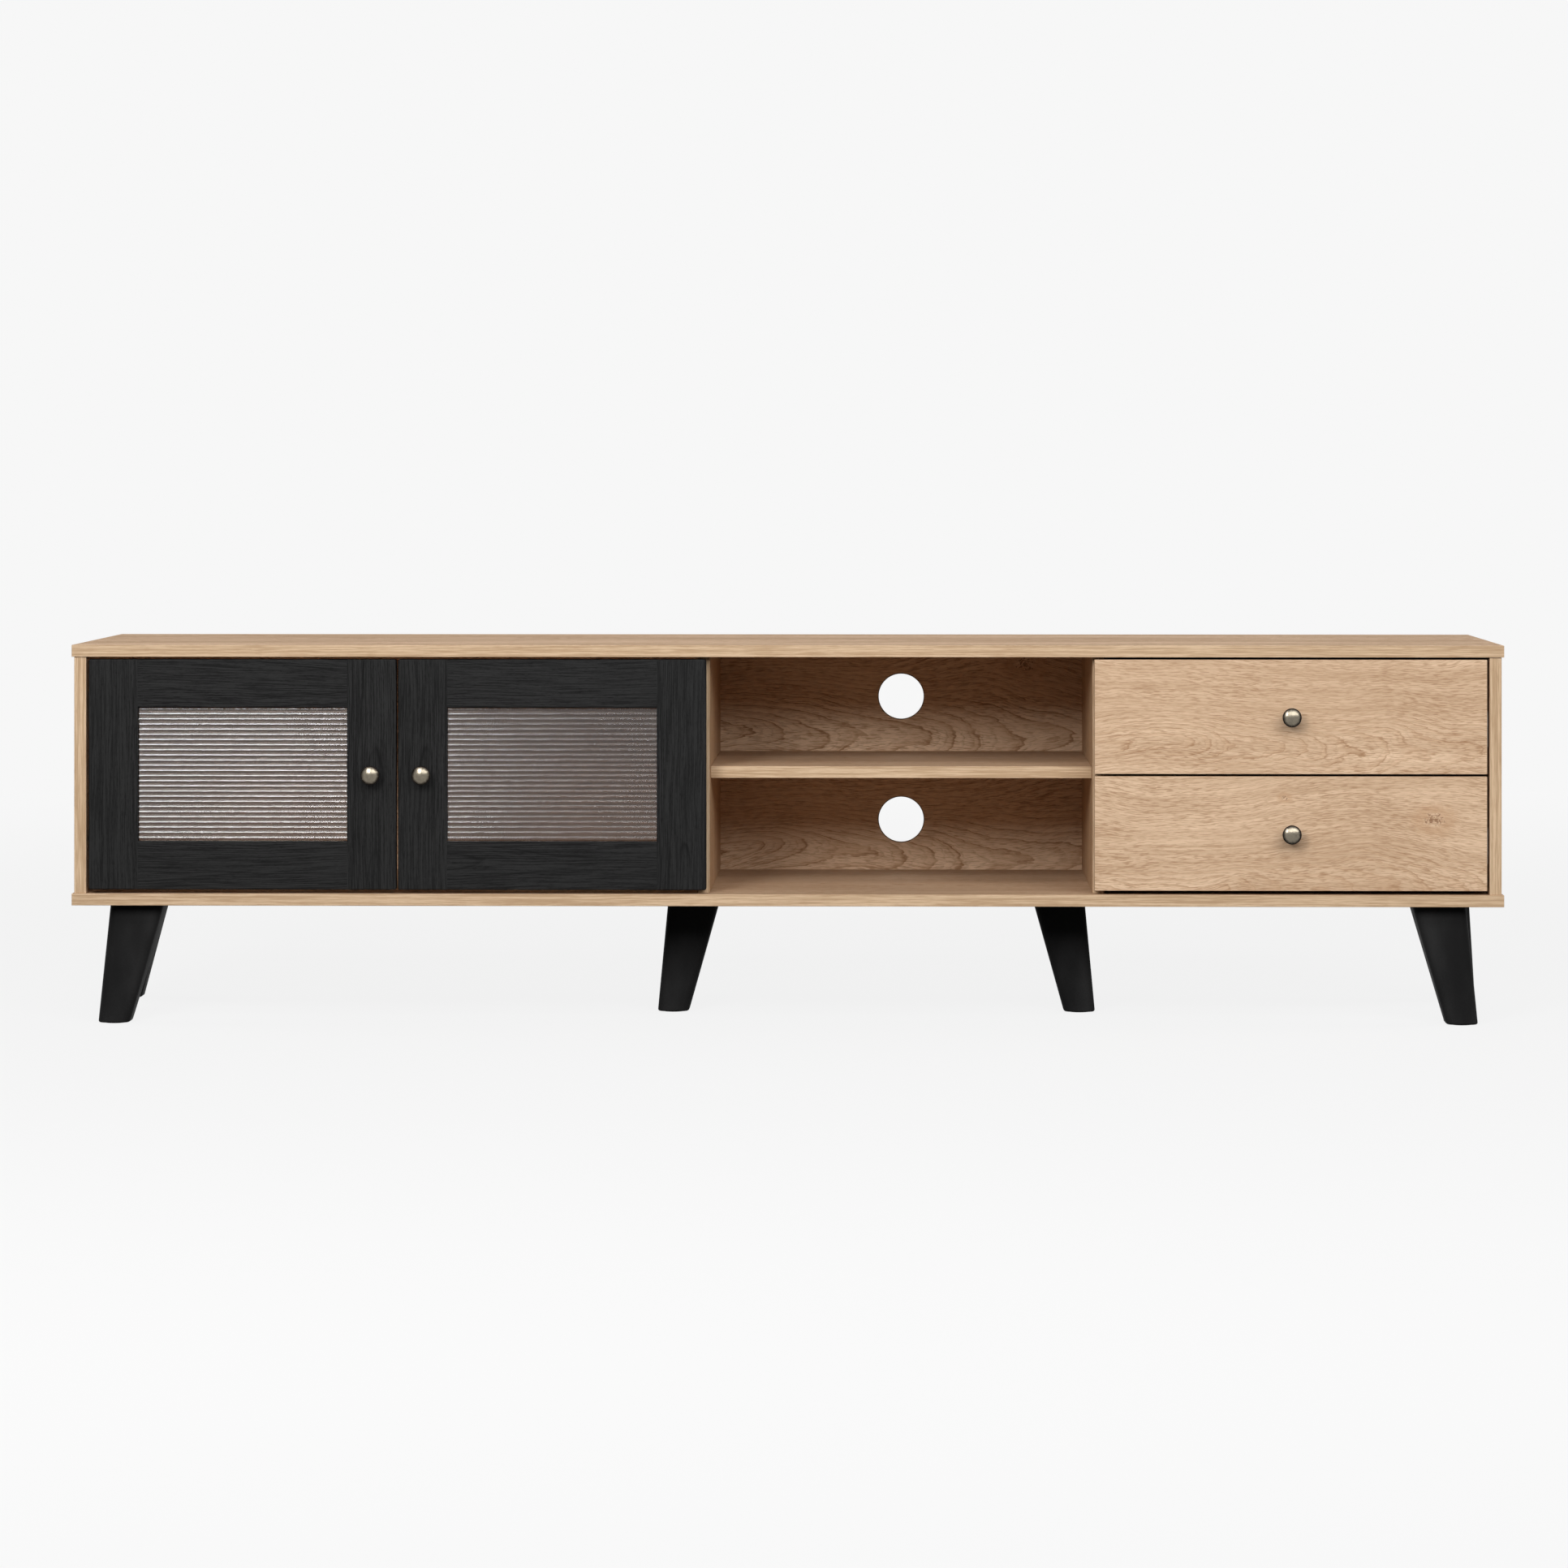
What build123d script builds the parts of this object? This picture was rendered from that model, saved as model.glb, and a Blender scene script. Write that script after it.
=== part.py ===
from build123d import *
import os

# Low media cabinet: two glazed doors on the left, an open bay with a shelf, two drawers on the right.
# Frame: +X to the right, -Y to the front, +Z up, origin on the floor under the middle of the whole box.
# All sizes are in millimetres.

# Overall sizes
WIDTH = 1800.0
DEPTH = 400.0
INNER_HEIGHT = 298.0
LEG_HEIGHT = 150.0

# Boards and bays
BOARD = 15.0
SIDE_INSET = 3.0
FRONT_INSET = 2.0
REAR_INSET = 2.0
DOOR_BAY = 770.0
OPEN_BAY = 482.0
BOARD_EDGE_RADIUS = 0.6

# Shelf in the open bay
SHELF_CLEAR_BELOW = 143.0
SHELF_SETBACK = 52.0

# Back panels in grooves, with round cable holes in the open bay
BACK_THICKNESS = 3.0
BACK_SETBACK = 10.0
GROOVE_DEPTH = 5.0
GROOVE_END_CLEARANCE = 0.5
GROOVE_SIDE_CLEARANCE = 0.1
CABLE_HOLE_RADIUS = 30.0
CABLE_HOLE_OFFSET = 82.0

# Fronts: doors and drawer fronts lie in one plane
FRONT_THICKNESS = 15.0
FRONT_GAP = 3.0
FRONT_BOTTOM_GAP = 5.0
MEETING_GAP = 2.0
DRAWER_FRONT_GAP = 3.0
DIVIDER_CLEARANCE = 3.0
DOOR_REVEAL = 4.0
DRAWER_REVEAL = 2.0
DOOR_CORNER_RADIUS = 2.5
DOOR_EDGE_RADIUS = 1.5
STILE_BEVEL_WIDTH = 8.0

# Door frame, glass and beads
STILE_WIDTH = 62.0
RAIL_WIDTH = 61.0
RAIL_RECESS = 0.5
TENON_LENGTH = 12.0
TENON_WIDTH = 30.0
TENON_THICKNESS = 6.0
TENON_CLEARANCE = 0.1
LIP_THICKNESS = 6.0
REBATE_WIDTH = 8.0
GLASS_THICKNESS = 4.0
GLASS_EDGE_CLEARANCE = 1.0
GLASS_FACE_CLEARANCE = 0.1
RIB_PITCH = 6.5
RIB_HEIGHT = 1.0
BEAD_WIDTH = 7.5
BEAD_CLEARANCE = 0.3

# Cup hinges: sizes across the door count from its hinged edge, depths from its rear face
HINGE_END_DISTANCE = 65.0
CUP_RADIUS = 17.5
CUP_EDGE_DISTANCE = 3.0
CUP_BORE_DEPTH = 11.5
CUP_WALL = 0.8
CUP_CLEARANCE = 0.1
CUP_FLANGE_THICKNESS = 1.2
CUP_FLANGE_WIDTH = 34.0
CUP_FLANGE_LENGTH = 60.0
CUP_FLANGE_CORNER = 8.0
CUP_SCREW_SPACING = 45.0
CUP_SCREW_OFFSET = 9.5
PIVOT_EDGE_DISTANCE = 8.0
PIVOT_REAR_DEPTH = 8.6
PIVOT_PIN_RADIUS = 1.2
PIVOT_RUNNING_CLEARANCE = 0.05
KNUCKLE_RADIUS = 1.9
PIN_EAR_GAP = 0.3
PIN_EAR_WIDTH = 3.2
PIN_EAR_REACH = 3.0
ARM_NECK_EDGE_DISTANCE = 20.5
ARM_NECK_THICKNESS = 2.8
ARM_NECK_WIDTH = 10.0
ARM_BRIDGE_CLEARANCE = 6.5
ARM_BODY_HEIGHT = 6.0
ARM_BODY_WIDTH = 14.0
ARM_BODY_LENGTH = 50.0
PLATE_THICKNESS = 3.0
PLATE_LENGTH = 40.0
PLATE_WIDTH = 44.0
PLATE_SCREW_SPACING = 32.0

# Drawer boxes
DRAWER_BOARD = 12.0
DRAWER_SIDE_HEIGHT = 100.0
DRAWER_REAR_GAP = 20.0
DRAWER_BOX_RAISE = 14.0
DRAWER_BOTTOM_RAISE = 8.0
DRAWER_BOTTOM_THICKNESS = 3.0
DRAWER_GROOVE_DEPTH = 4.0
DRAWER_CAM_SPACING = 50.0
DRAWER_BACK_SCREW_DROPS = (10.0, 30.0)
DRAWER_BACK_SCREW_LENGTH = 30.0

# Three-part drawer slides, sizes across the slide count from the cabinet's face
SLIDE_THICKNESS = 12.7
SLIDE_HEIGHT = 45.0
SLIDE_FRONT_SETBACK = 20.0
SLIDE_RAISE = 41.0
SLIDE_METAL = 1.2
SLIDE_RUNNING_GAP = 0.4
CABINET_RAIL_REACH = 8.0
MIDDLE_RAIL_START = 3.2
MIDDLE_RAIL_REACH = 9.5
DRAWER_RAIL_START = 6.0
SLIDE_SCREW_END_DISTANCE = 60.0

# Knobs
KNOB_REACH = 24.0
KNOB_RADIUS = 12.0
KNOB_BASE_RADIUS = 8.0
KNOB_BASE_THICKNESS = 1.6
KNOB_NECK_RADIUS = 4.6
KNOB_NECK_LENGTH = 9.0
KNOB_RIM_REACH = 16.5
KNOB_FACE_REACH = 19.5
KNOB_HOLE_DEPTH = 12.0
KNOB_SCREW_RADIUS = 2.0
KNOB_SCREW_ENGAGEMENT = 10.0

# Legs: the outer faces lean out by LEG_LEAN between the top and the foot
LEG_TOP = 68.0
LEG_FOOT = 40.0
LEG_CORNER_RADIUS = 11.0
LEG_LEAN = 13.5
LEG_FRONT_INSET = 25.0
REAR_LEG_REAR_INSET = 67.0
FRONT_LEG_END_INSET = 44.0
REAR_LEG_END_INSET = 14.0
MIDDLE_LEFT_LEG_OUTSET = 25.0
MIDDLE_RIGHT_LEG_INSET = 39.0
LEG_BOLT_RADIUS = 4.0
LEG_BOLT_DEPTH = 30.0
LEG_INSERT_RADIUS = 6.0
LEG_INSERT_LENGTH = 12.0
GLIDE_RADIUS = 14.0
GLIDE_THICKNESS = 3.0
GLIDE_PROUD = 1.0

# Cam fittings, dowels and screws
CAM_RADIUS = 7.5
CAM_BACKSET = 24.0
CAM_FLOOR = 2.5
CAM_SLOT_WIDTH = 2.0
CAM_SLOT_DEPTH = 2.0
CAM_BOLT_RADIUS = 3.0
CAM_BOLT_ENGAGEMENT = 10.0
CAM_BOLT_BORE_CLEARANCE = 0.5
DOWEL_RADIUS = 4.0
DOWEL_SHORT_END = 10.0
DOWEL_LONG_END = 20.0
LONG_SCREW_RADIUS = 3.5
LONG_SCREW_LENGTH = 50.0
LONG_SCREW_HEAD_RADIUS = 5.0
LONG_SCREW_HEAD_LENGTH = 5.0
SCREW_RADIUS = 1.7
SCREW_HEAD_RADIUS = 3.4
SCREW_HEAD_HEIGHT = 1.5
SCREW_LENGTH = 10.0
HARDWARE_HOLE_CLEARANCE = 0.05
JOINT_END_DISTANCE = 60.0
JOINT_STEP = 70.0

# Main planes, worked out from the sizes above
FRONT_Y = -(DEPTH + FRONT_INSET - KNOB_REACH) / 2
REAR_Y = FRONT_Y + DEPTH
FACE_Y = FRONT_Y + FRONT_INSET
FRONT_BACK_Y = FACE_Y + FRONT_THICKNESS
DIVIDER_Y = FRONT_BACK_Y + DIVIDER_CLEARANCE
PANEL_REAR_Y = REAR_Y - REAR_INSET
BACK_FACE_Y = REAR_Y - BACK_SETBACK - BACK_THICKNESS
FLOOR_Z = LEG_HEIGHT + BOARD
CEILING_Z = FLOOR_Z + INNER_HEIGHT
TOP_Z = CEILING_Z + BOARD
LEFT_OUTER_X = -WIDTH / 2 + SIDE_INSET
LEFT_INNER_X = LEFT_OUTER_X + BOARD
LEFT_DIVIDER_X = LEFT_INNER_X + DOOR_BAY
OPEN_LEFT_X = LEFT_DIVIDER_X + BOARD
OPEN_RIGHT_X = OPEN_LEFT_X + OPEN_BAY
RIGHT_DIVIDER_X = OPEN_RIGHT_X + BOARD
RIGHT_OUTER_X = WIDTH / 2 - SIDE_INSET
RIGHT_INNER_X = RIGHT_OUTER_X - BOARD
SHELF_Z = FLOOR_Z + SHELF_CLEAR_BELOW
DRAWER_REAR_Y = BACK_FACE_Y - DRAWER_REAR_GAP
FRONT_LOW_Z = FLOOR_Z + FRONT_BOTTOM_GAP
FRONT_HIGH_Z = CEILING_Z - FRONT_GAP

RIGHT, LEFT = Vector(1, 0, 0), Vector(-1, 0, 0)
BACKWARD, FORWARD = Vector(0, 1, 0), Vector(0, -1, 0)
UP, DOWN = Vector(0, 0, 1), Vector(0, 0, -1)

pieces = {}
tools = {}


def add(node, *solids):
    """Adds solids to a node."""
    pieces.setdefault(node, []).extend(solids)


def cut(node, *solids):
    """Takes solids out of a node when it is written."""
    tools.setdefault(node, []).extend(solids)


def block(x, y, z):
    """A box between a low and a high value on each axis, in either order."""
    spans = [sorted(span) for span in (x, y, z)]
    centre = [(low + high) / 2 for low, high in spans]
    return Pos(*centre) * Box(*[high - low for low, high in spans])


def rod(start, direction, length, radius):
    """A round bar from a point along a direction."""
    plane = Plane(origin=tuple(start), z_dir=tuple(direction))
    return plane * Cylinder(radius, length, align=(Align.CENTER, Align.CENTER, Align.MIN))


def board(x, y, z):
    """A flat board with slightly eased edges."""
    plain = block(x, y, z)
    return fillet(plain.edges(), BOARD_EDGE_RADIUS)


# Fasteners: each function adds the fastener to a node and cuts its holes


def cam_fitting(node, joint, bolt_axis, cam_axis, panel, panel_thickness, mate):
    """A bolt from the mating board, drawn tight by a round cam in the panel's face."""
    centre = joint - bolt_axis * CAM_BACKSET
    face = centre + cam_axis * (panel_thickness / 2)
    depth = panel_thickness - CAM_FLOOR
    bore = rod(centre, bolt_axis, CAM_BACKSET, CAM_BOLT_RADIUS + CAM_BOLT_BORE_CLEARANCE)
    slot = Plane(origin=tuple(face), z_dir=tuple(cam_axis)) * Box(
        2 * CAM_RADIUS, CAM_SLOT_WIDTH, 2 * CAM_SLOT_DEPTH
    )
    add(node, rod(face, -cam_axis, depth, CAM_RADIUS) - bore - slot)
    add(node, rod(centre, bolt_axis, CAM_BACKSET + CAM_BOLT_ENGAGEMENT, CAM_BOLT_RADIUS))
    seat = CAM_RADIUS + HARDWARE_HOLE_CLEARANCE
    cut(panel, rod(face, -cam_axis, depth + HARDWARE_HOLE_CLEARANCE, seat), bore)
    hole = CAM_BOLT_RADIUS + HARDWARE_HOLE_CLEARANCE
    cut(mate, rod(joint, bolt_axis, CAM_BOLT_ENGAGEMENT + HARDWARE_HOLE_CLEARANCE, hole))


def dowel(joint, axis, panel, mate):
    """A wooden dowel with its long end in the panel's edge and its short end in the mate's face."""
    start = joint - axis * DOWEL_LONG_END
    length = DOWEL_LONG_END + DOWEL_SHORT_END
    hole_start = start - axis * HARDWARE_HOLE_CLEARANCE
    hole_length = length + 2 * HARDWARE_HOLE_CLEARANCE
    add("carcass_dowels", rod(start, axis, length, DOWEL_RADIUS))
    hole = rod(hole_start, axis, hole_length, DOWEL_RADIUS + HARDWARE_HOLE_CLEARANCE)
    cut(panel, hole)
    cut(mate, hole)


def long_screw(start, axis, board_node, panel):
    """A thick furniture screw with a sunk head, from a board's face into the edge of a panel."""
    head = rod(start, axis, LONG_SCREW_HEAD_LENGTH, LONG_SCREW_HEAD_RADIUS)
    shank = rod(start, axis, LONG_SCREW_LENGTH, LONG_SCREW_RADIUS)
    wide = LONG_SCREW_HEAD_RADIUS + HARDWARE_HOLE_CLEARANCE
    narrow = LONG_SCREW_RADIUS + HARDWARE_HOLE_CLEARANCE
    add("carcass_fasteners", head + shank)
    hole = rod(start, axis, LONG_SCREW_LENGTH + HARDWARE_HOLE_CLEARANCE, narrow)
    cut(board_node, rod(start, axis, LONG_SCREW_HEAD_LENGTH + HARDWARE_HOLE_CLEARANCE, wide), hole)
    cut(panel, hole)


def pan_screw(node, surface, axis, through, *holders, length=SCREW_LENGTH):
    """A small screw: its head on a surface, its shank along the axis through one piece into others."""
    head = rod(surface, -axis, SCREW_HEAD_HEIGHT, SCREW_HEAD_RADIUS)
    add(node, head + rod(surface, axis, length, SCREW_RADIUS))
    hole = rod(surface, axis, length + HARDWARE_HOLE_CLEARANCE, SCREW_RADIUS + HARDWARE_HOLE_CLEARANCE)
    for holder in (through, *holders):
        cut(holder, hole)


# Carcass


def outer_boards():
    """Top and bottom boards, and the four upright panels between them."""
    across, deep = (-WIDTH / 2, WIDTH / 2), (FRONT_Y, REAR_Y)
    tall = (FLOOR_Z, CEILING_Z)
    add("top_panel", board(across, deep, (CEILING_Z, TOP_Z)))
    add("bottom_panel", board(across, deep, (LEG_HEIGHT, FLOOR_Z)))
    add("left_side_panel", board((LEFT_OUTER_X, LEFT_INNER_X), (FACE_Y, PANEL_REAR_Y), tall))
    add("right_side_panel", board((RIGHT_INNER_X, RIGHT_OUTER_X), (FACE_Y, PANEL_REAR_Y), tall))
    add("left_divider", board((LEFT_DIVIDER_X, OPEN_LEFT_X), (DIVIDER_Y, PANEL_REAR_Y), tall))
    add("right_divider", board((OPEN_RIGHT_X, RIGHT_DIVIDER_X), (DIVIDER_Y, PANEL_REAR_Y), tall))


def upright_joints():
    """Cams and dowels under the top board, long screws and dowels through the bottom board."""
    uprights = (
        ("left_side_panel", LEFT_OUTER_X, RIGHT),
        ("left_divider", LEFT_DIVIDER_X, LEFT),
        ("right_divider", OPEN_RIGHT_X, RIGHT),
        ("right_side_panel", RIGHT_INNER_X, LEFT),
    )
    for panel, low_x, hidden_side in uprights:
        x = low_x + BOARD / 2
        for end_y, inward in ((DIVIDER_Y, 1), (BACK_FACE_Y, -1)):
            screw_y = end_y + inward * JOINT_END_DISTANCE
            dowel_y = screw_y + inward * JOINT_STEP
            above, below = Vector(x, screw_y, CEILING_Z), Vector(x, screw_y, LEG_HEIGHT)
            cam_fitting("carcass_fasteners", above, UP, hidden_side, panel, BOARD, "top_panel")
            long_screw(below, UP, "bottom_panel", panel)
            dowel(Vector(x, dowel_y, CEILING_Z), UP, panel, "top_panel")
            dowel(Vector(x, dowel_y, FLOOR_Z), DOWN, panel, "bottom_panel")


def shelf():
    """Fixed shelf on dowels between the dividers of the open bay."""
    front, rear = FRONT_Y + SHELF_SETBACK, BACK_FACE_Y - GROOVE_SIDE_CLEARANCE
    add("centre_shelf", board((OPEN_LEFT_X, OPEN_RIGHT_X), (front, rear), (SHELF_Z, SHELF_Z + BOARD)))
    ends = ((OPEN_LEFT_X, LEFT, "left_divider"), (OPEN_RIGHT_X, RIGHT, "right_divider"))
    for y in (front + JOINT_END_DISTANCE, rear - JOINT_END_DISTANCE):
        for x, axis, divider in ends:
            dowel(Vector(x, y, SHELF_Z + BOARD / 2), axis, "centre_shelf", divider)


def back_panels():
    """Three thin panels in grooves, and the cable holes behind the open bay."""
    slot_y = (BACK_FACE_Y - GROOVE_SIDE_CLEARANCE, BACK_FACE_Y + BACK_THICKNESS + GROOVE_SIDE_CLEARANCE)
    panel_y = (BACK_FACE_Y, BACK_FACE_Y + BACK_THICKNESS)
    reach = GROOVE_DEPTH - GROOVE_END_CLEARANCE
    tall = (FLOOR_Z, CEILING_Z)
    bays = (
        ("left_back_panel", LEFT_INNER_X, LEFT_DIVIDER_X, "left_side_panel", "left_divider"),
        ("centre_back_panel", OPEN_LEFT_X, OPEN_RIGHT_X, "left_divider", "right_divider"),
        ("right_back_panel", RIGHT_DIVIDER_X, RIGHT_INNER_X, "right_divider", "right_side_panel"),
    )
    for node, low, high, left_holder, right_holder in bays:
        add(node, block((low - reach, high + reach), panel_y, (FLOOR_Z - reach, CEILING_Z + reach)))
        cut(left_holder, block((low - GROOVE_DEPTH, low), slot_y, tall))
        cut(right_holder, block((high, high + GROOVE_DEPTH), slot_y, tall))
    whole = (LEFT_INNER_X - GROOVE_DEPTH, RIGHT_INNER_X + GROOVE_DEPTH)
    cut("top_panel", block(whole, slot_y, (CEILING_Z, CEILING_Z + GROOVE_DEPTH)))
    cut("bottom_panel", block(whole, slot_y, (FLOOR_Z - GROOVE_DEPTH, FLOOR_Z)))
    for side in (-1, 1):
        z = (FLOOR_Z + CEILING_Z) / 2 + side * CABLE_HOLE_OFFSET
        centre = Vector((OPEN_LEFT_X + OPEN_RIGHT_X) / 2, BACK_FACE_Y, z)
        cut("centre_back_panel", rod(centre, BACKWARD, BACK_THICKNESS, CABLE_HOLE_RADIUS))


def leg(node, top_x, top_y, lean_x, lean_y):
    """A tapered moulded leg on a bolt, with a round glide let into its foot."""
    shift = (LEG_TOP - LEG_FOOT) / 2 + LEG_LEAN
    foot_x, foot_y = top_x + lean_x * shift, top_y + lean_y * shift
    top_rim = Pos(top_x, top_y, LEG_HEIGHT) * RectangleRounded(LEG_TOP, LEG_TOP, LEG_CORNER_RADIUS)
    foot_rim = Pos(foot_x, foot_y, GLIDE_PROUD) * RectangleRounded(LEG_FOOT, LEG_FOOT, LEG_CORNER_RADIUS)
    add(node, loft([foot_rim, top_rim], ruled=True))
    glide = rod((foot_x, foot_y, 0), UP, GLIDE_THICKNESS, GLIDE_RADIUS)
    add("leg_glides", glide)
    cut(node, rod((foot_x, foot_y, 0), UP, GLIDE_THICKNESS, GLIDE_RADIUS + HARDWARE_HOLE_CLEARANCE))
    bolt_low = Vector(top_x, top_y, LEG_HEIGHT - LEG_BOLT_DEPTH)
    bolt_length = LEG_BOLT_DEPTH + LEG_INSERT_LENGTH
    bore = rod(bolt_low, UP, bolt_length, LEG_BOLT_RADIUS + HARDWARE_HOLE_CLEARANCE)
    insert = rod((top_x, top_y, LEG_HEIGHT), UP, LEG_INSERT_LENGTH, LEG_INSERT_RADIUS)
    add("leg_bolts_and_inserts", rod(bolt_low, UP, bolt_length, LEG_BOLT_RADIUS), insert - bore)
    cut(node, bore)
    pocket = LEG_INSERT_RADIUS + HARDWARE_HOLE_CLEARANCE
    cut("bottom_panel", rod((top_x, top_y, LEG_HEIGHT), UP, LEG_INSERT_LENGTH, pocket))


def legs():
    """Four corner legs and two legs near the middle, all leaning outwards."""
    front_y = FRONT_Y + LEG_FRONT_INSET + LEG_TOP / 2
    rear_y = REAR_Y - REAR_LEG_REAR_INSET - LEG_TOP / 2
    middle_y = (FRONT_Y + REAR_Y) / 2
    middle_left_x = OPEN_LEFT_X - MIDDLE_LEFT_LEG_OUTSET
    middle_right_x = OPEN_RIGHT_X - MIDDLE_RIGHT_LEG_INSET
    for name, side, middle_x in (("left", -1, middle_left_x), ("right", 1, middle_right_x)):
        front_x = side * (WIDTH / 2 - FRONT_LEG_END_INSET - LEG_TOP / 2)
        rear_x = side * (WIDTH / 2 - REAR_LEG_END_INSET - LEG_TOP / 2)
        leg(f"front_{name}_leg", front_x, front_y, side, -1)
        leg(f"middle_{name}_leg", middle_x, middle_y, side, -1)
        leg(f"rear_{name}_leg", rear_x, rear_y, side, 1)


# Knobs


def knob(node, screw_node, x, z, holder):
    """A mushroom knob turned on its axis, held by a machine screw through the front."""
    outline = [
        Line((0, 0), (KNOB_BASE_RADIUS, 0)),
        Line((KNOB_BASE_RADIUS, 0), (KNOB_BASE_RADIUS, KNOB_BASE_THICKNESS)),
        Line((KNOB_BASE_RADIUS, KNOB_BASE_THICKNESS), (KNOB_NECK_RADIUS, 2 * KNOB_BASE_THICKNESS)),
        Line((KNOB_NECK_RADIUS, 2 * KNOB_BASE_THICKNESS), (KNOB_NECK_RADIUS, KNOB_NECK_LENGTH)),
        TangentArc((KNOB_NECK_RADIUS, KNOB_NECK_LENGTH), (KNOB_RADIUS, KNOB_RIM_REACH), tangent=(0, 1)),
        Line((KNOB_RADIUS, KNOB_RIM_REACH), (KNOB_RADIUS, KNOB_FACE_REACH)),
        TangentArc((0, KNOB_REACH), (KNOB_RADIUS, KNOB_FACE_REACH), tangent=(1, 0)),
        Line((0, KNOB_REACH), (0, 0)),
    ]
    # The outline's second axis points forward, out of the front.
    side_view = Plane(origin=(x, FACE_Y, z), x_dir=(1, 0, 0), z_dir=(0, 0, 1)) * Rot(180, 0, 0)
    turned = revolve(side_view * make_face(outline), Axis((x, FACE_Y, z), (0, -1, 0)), 360)
    thread = KNOB_SCREW_RADIUS + HARDWARE_HOLE_CLEARANCE
    add(node, turned - rod((x, FACE_Y, z), FORWARD, KNOB_HOLE_DEPTH, thread))
    length = FRONT_THICKNESS + KNOB_SCREW_ENGAGEMENT
    head = rod((x, FRONT_BACK_Y, z), BACKWARD, 2 * SCREW_HEAD_HEIGHT, 2 * KNOB_SCREW_RADIUS)
    add(screw_node, head + rod((x, FRONT_BACK_Y, z), FORWARD, length, KNOB_SCREW_RADIUS))
    cut(holder, rod((x, FRONT_BACK_Y, z), FORWARD, FRONT_THICKNESS, thread))


# Doors


def stile(x, z, outer_side):
    """An upright of the door frame: rounded on its outer side, bevelled down to the rails on its inner side."""
    slab = block(x, (FACE_Y, FRONT_BACK_Y), z)
    outward = Axis((0, 0, 0), (outer_side, 0, 0))
    corners = slab.edges().filter_by(Axis.Y).sort_by(outward)[-2:]
    slab = fillet(corners, DOOR_CORNER_RADIUS)
    faces = slab.faces().filter_by(Plane.XZ).sort_by(Axis.Y)
    rims = [face.edges().sort_by(outward)[1:] for face in (faces[0], faces[-1])]
    slab = fillet(rims[0] + rims[1], DOOR_EDGE_RADIUS)
    inner_x = x[0] if outer_side > 0 else x[1]
    bevel = Polyline(
        (inner_x + outer_side * STILE_BEVEL_WIDTH, FACE_Y, z[0]),
        (inner_x, FACE_Y + RAIL_RECESS, z[0]),
        (inner_x, FACE_Y, z[0]),
        close=True,
    )
    return slab - extrude(make_face(bevel), z[1] - z[0], dir=tuple(UP))


def rail(x, z):
    """A cross piece of the door frame, a little behind the stiles, with a tenon at each end."""
    face_y = FACE_Y + RAIL_RECESS
    slab = block(x, (face_y, FRONT_BACK_Y), z)
    long_edges = slab.edges().filter_by(Axis.X)
    slab = fillet(long_edges, DOOR_EDGE_RADIUS)
    middle_y, middle_z = (FACE_Y + FRONT_BACK_Y) / 2, sum(z) / 2
    tenon_y = (middle_y - TENON_THICKNESS / 2, middle_y + TENON_THICKNESS / 2)
    tenon_z = (middle_z - TENON_WIDTH / 2, middle_z + TENON_WIDTH / 2)
    tenon = block((x[0] - TENON_LENGTH, x[1] + TENON_LENGTH), tenon_y, tenon_z)
    room = TENON_CLEARANCE
    mortise = block(
        (x[0] - TENON_LENGTH - room, x[1] + TENON_LENGTH + room),
        (tenon_y[0] - room, tenon_y[1] + room),
        (tenon_z[0] - room, tenon_z[1] + room),
    )
    return slab + tenon, mortise


def ribbed_glass(x, z):
    """A pane with level half-round ribs across its front, all of one pitch."""
    front = FACE_Y + LIP_THICKNESS + GLASS_FACE_CLEARANCE
    valley, rear = front + RIB_HEIGHT, front + GLASS_THICKNESS
    count = round((z[1] - z[0]) / RIB_PITCH)
    pitch = (z[1] - z[0]) / count
    outline = []
    for index in range(count):
        low = z[0] + index * pitch
        outline.append(ThreePointArc((valley, low), (front, low + pitch / 2), (valley, low + pitch)))
    outline.append(Polyline((valley, z[1]), (rear, z[1]), (rear, z[0]), (valley, z[0])))
    section = Plane(origin=(x[0], 0, 0), x_dir=(0, 1, 0), z_dir=(1, 0, 0)) * make_face(outline)
    return extrude(section, x[1] - x[0])


def glazing(name, opening_x, opening_z, frame):
    """The rebate behind the opening, the glass in it, and four beads that hold the glass."""
    seat_x = (opening_x[0] - REBATE_WIDTH, opening_x[1] + REBATE_WIDTH)
    seat_z = (opening_z[0] - REBATE_WIDTH, opening_z[1] + REBATE_WIDTH)
    rebate = block(seat_x, (FACE_Y + LIP_THICKNESS, FRONT_BACK_Y), seat_z)
    for member in frame:
        cut(member, rebate)
    gap = GLASS_EDGE_CLEARANCE
    pane = ribbed_glass((seat_x[0] + gap, seat_x[1] - gap), (seat_z[0] + gap, seat_z[1] - gap))
    add(f"{name}_glass", pane)
    bead_y = (FACE_Y + LIP_THICKNESS + GLASS_THICKNESS + 2 * GLASS_FACE_CLEARANCE, FRONT_BACK_Y)
    low_x, high_x = seat_x[0] + BEAD_CLEARANCE, seat_x[1] - BEAD_CLEARANCE
    low_z, high_z = seat_z[0] + BEAD_CLEARANCE, seat_z[1] - BEAD_CLEARANCE
    inner_z = (low_z + BEAD_WIDTH, high_z - BEAD_WIDTH)
    beads = f"{name}_glazing_beads"
    add(beads, block((low_x, high_x), bead_y, (low_z, low_z + BEAD_WIDTH)))
    add(beads, block((low_x, high_x), bead_y, (high_z - BEAD_WIDTH, high_z)))
    add(beads, block((low_x, low_x + BEAD_WIDTH), bead_y, inner_z))
    add(beads, block((high_x - BEAD_WIDTH, high_x), bead_y, inner_z))


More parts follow.
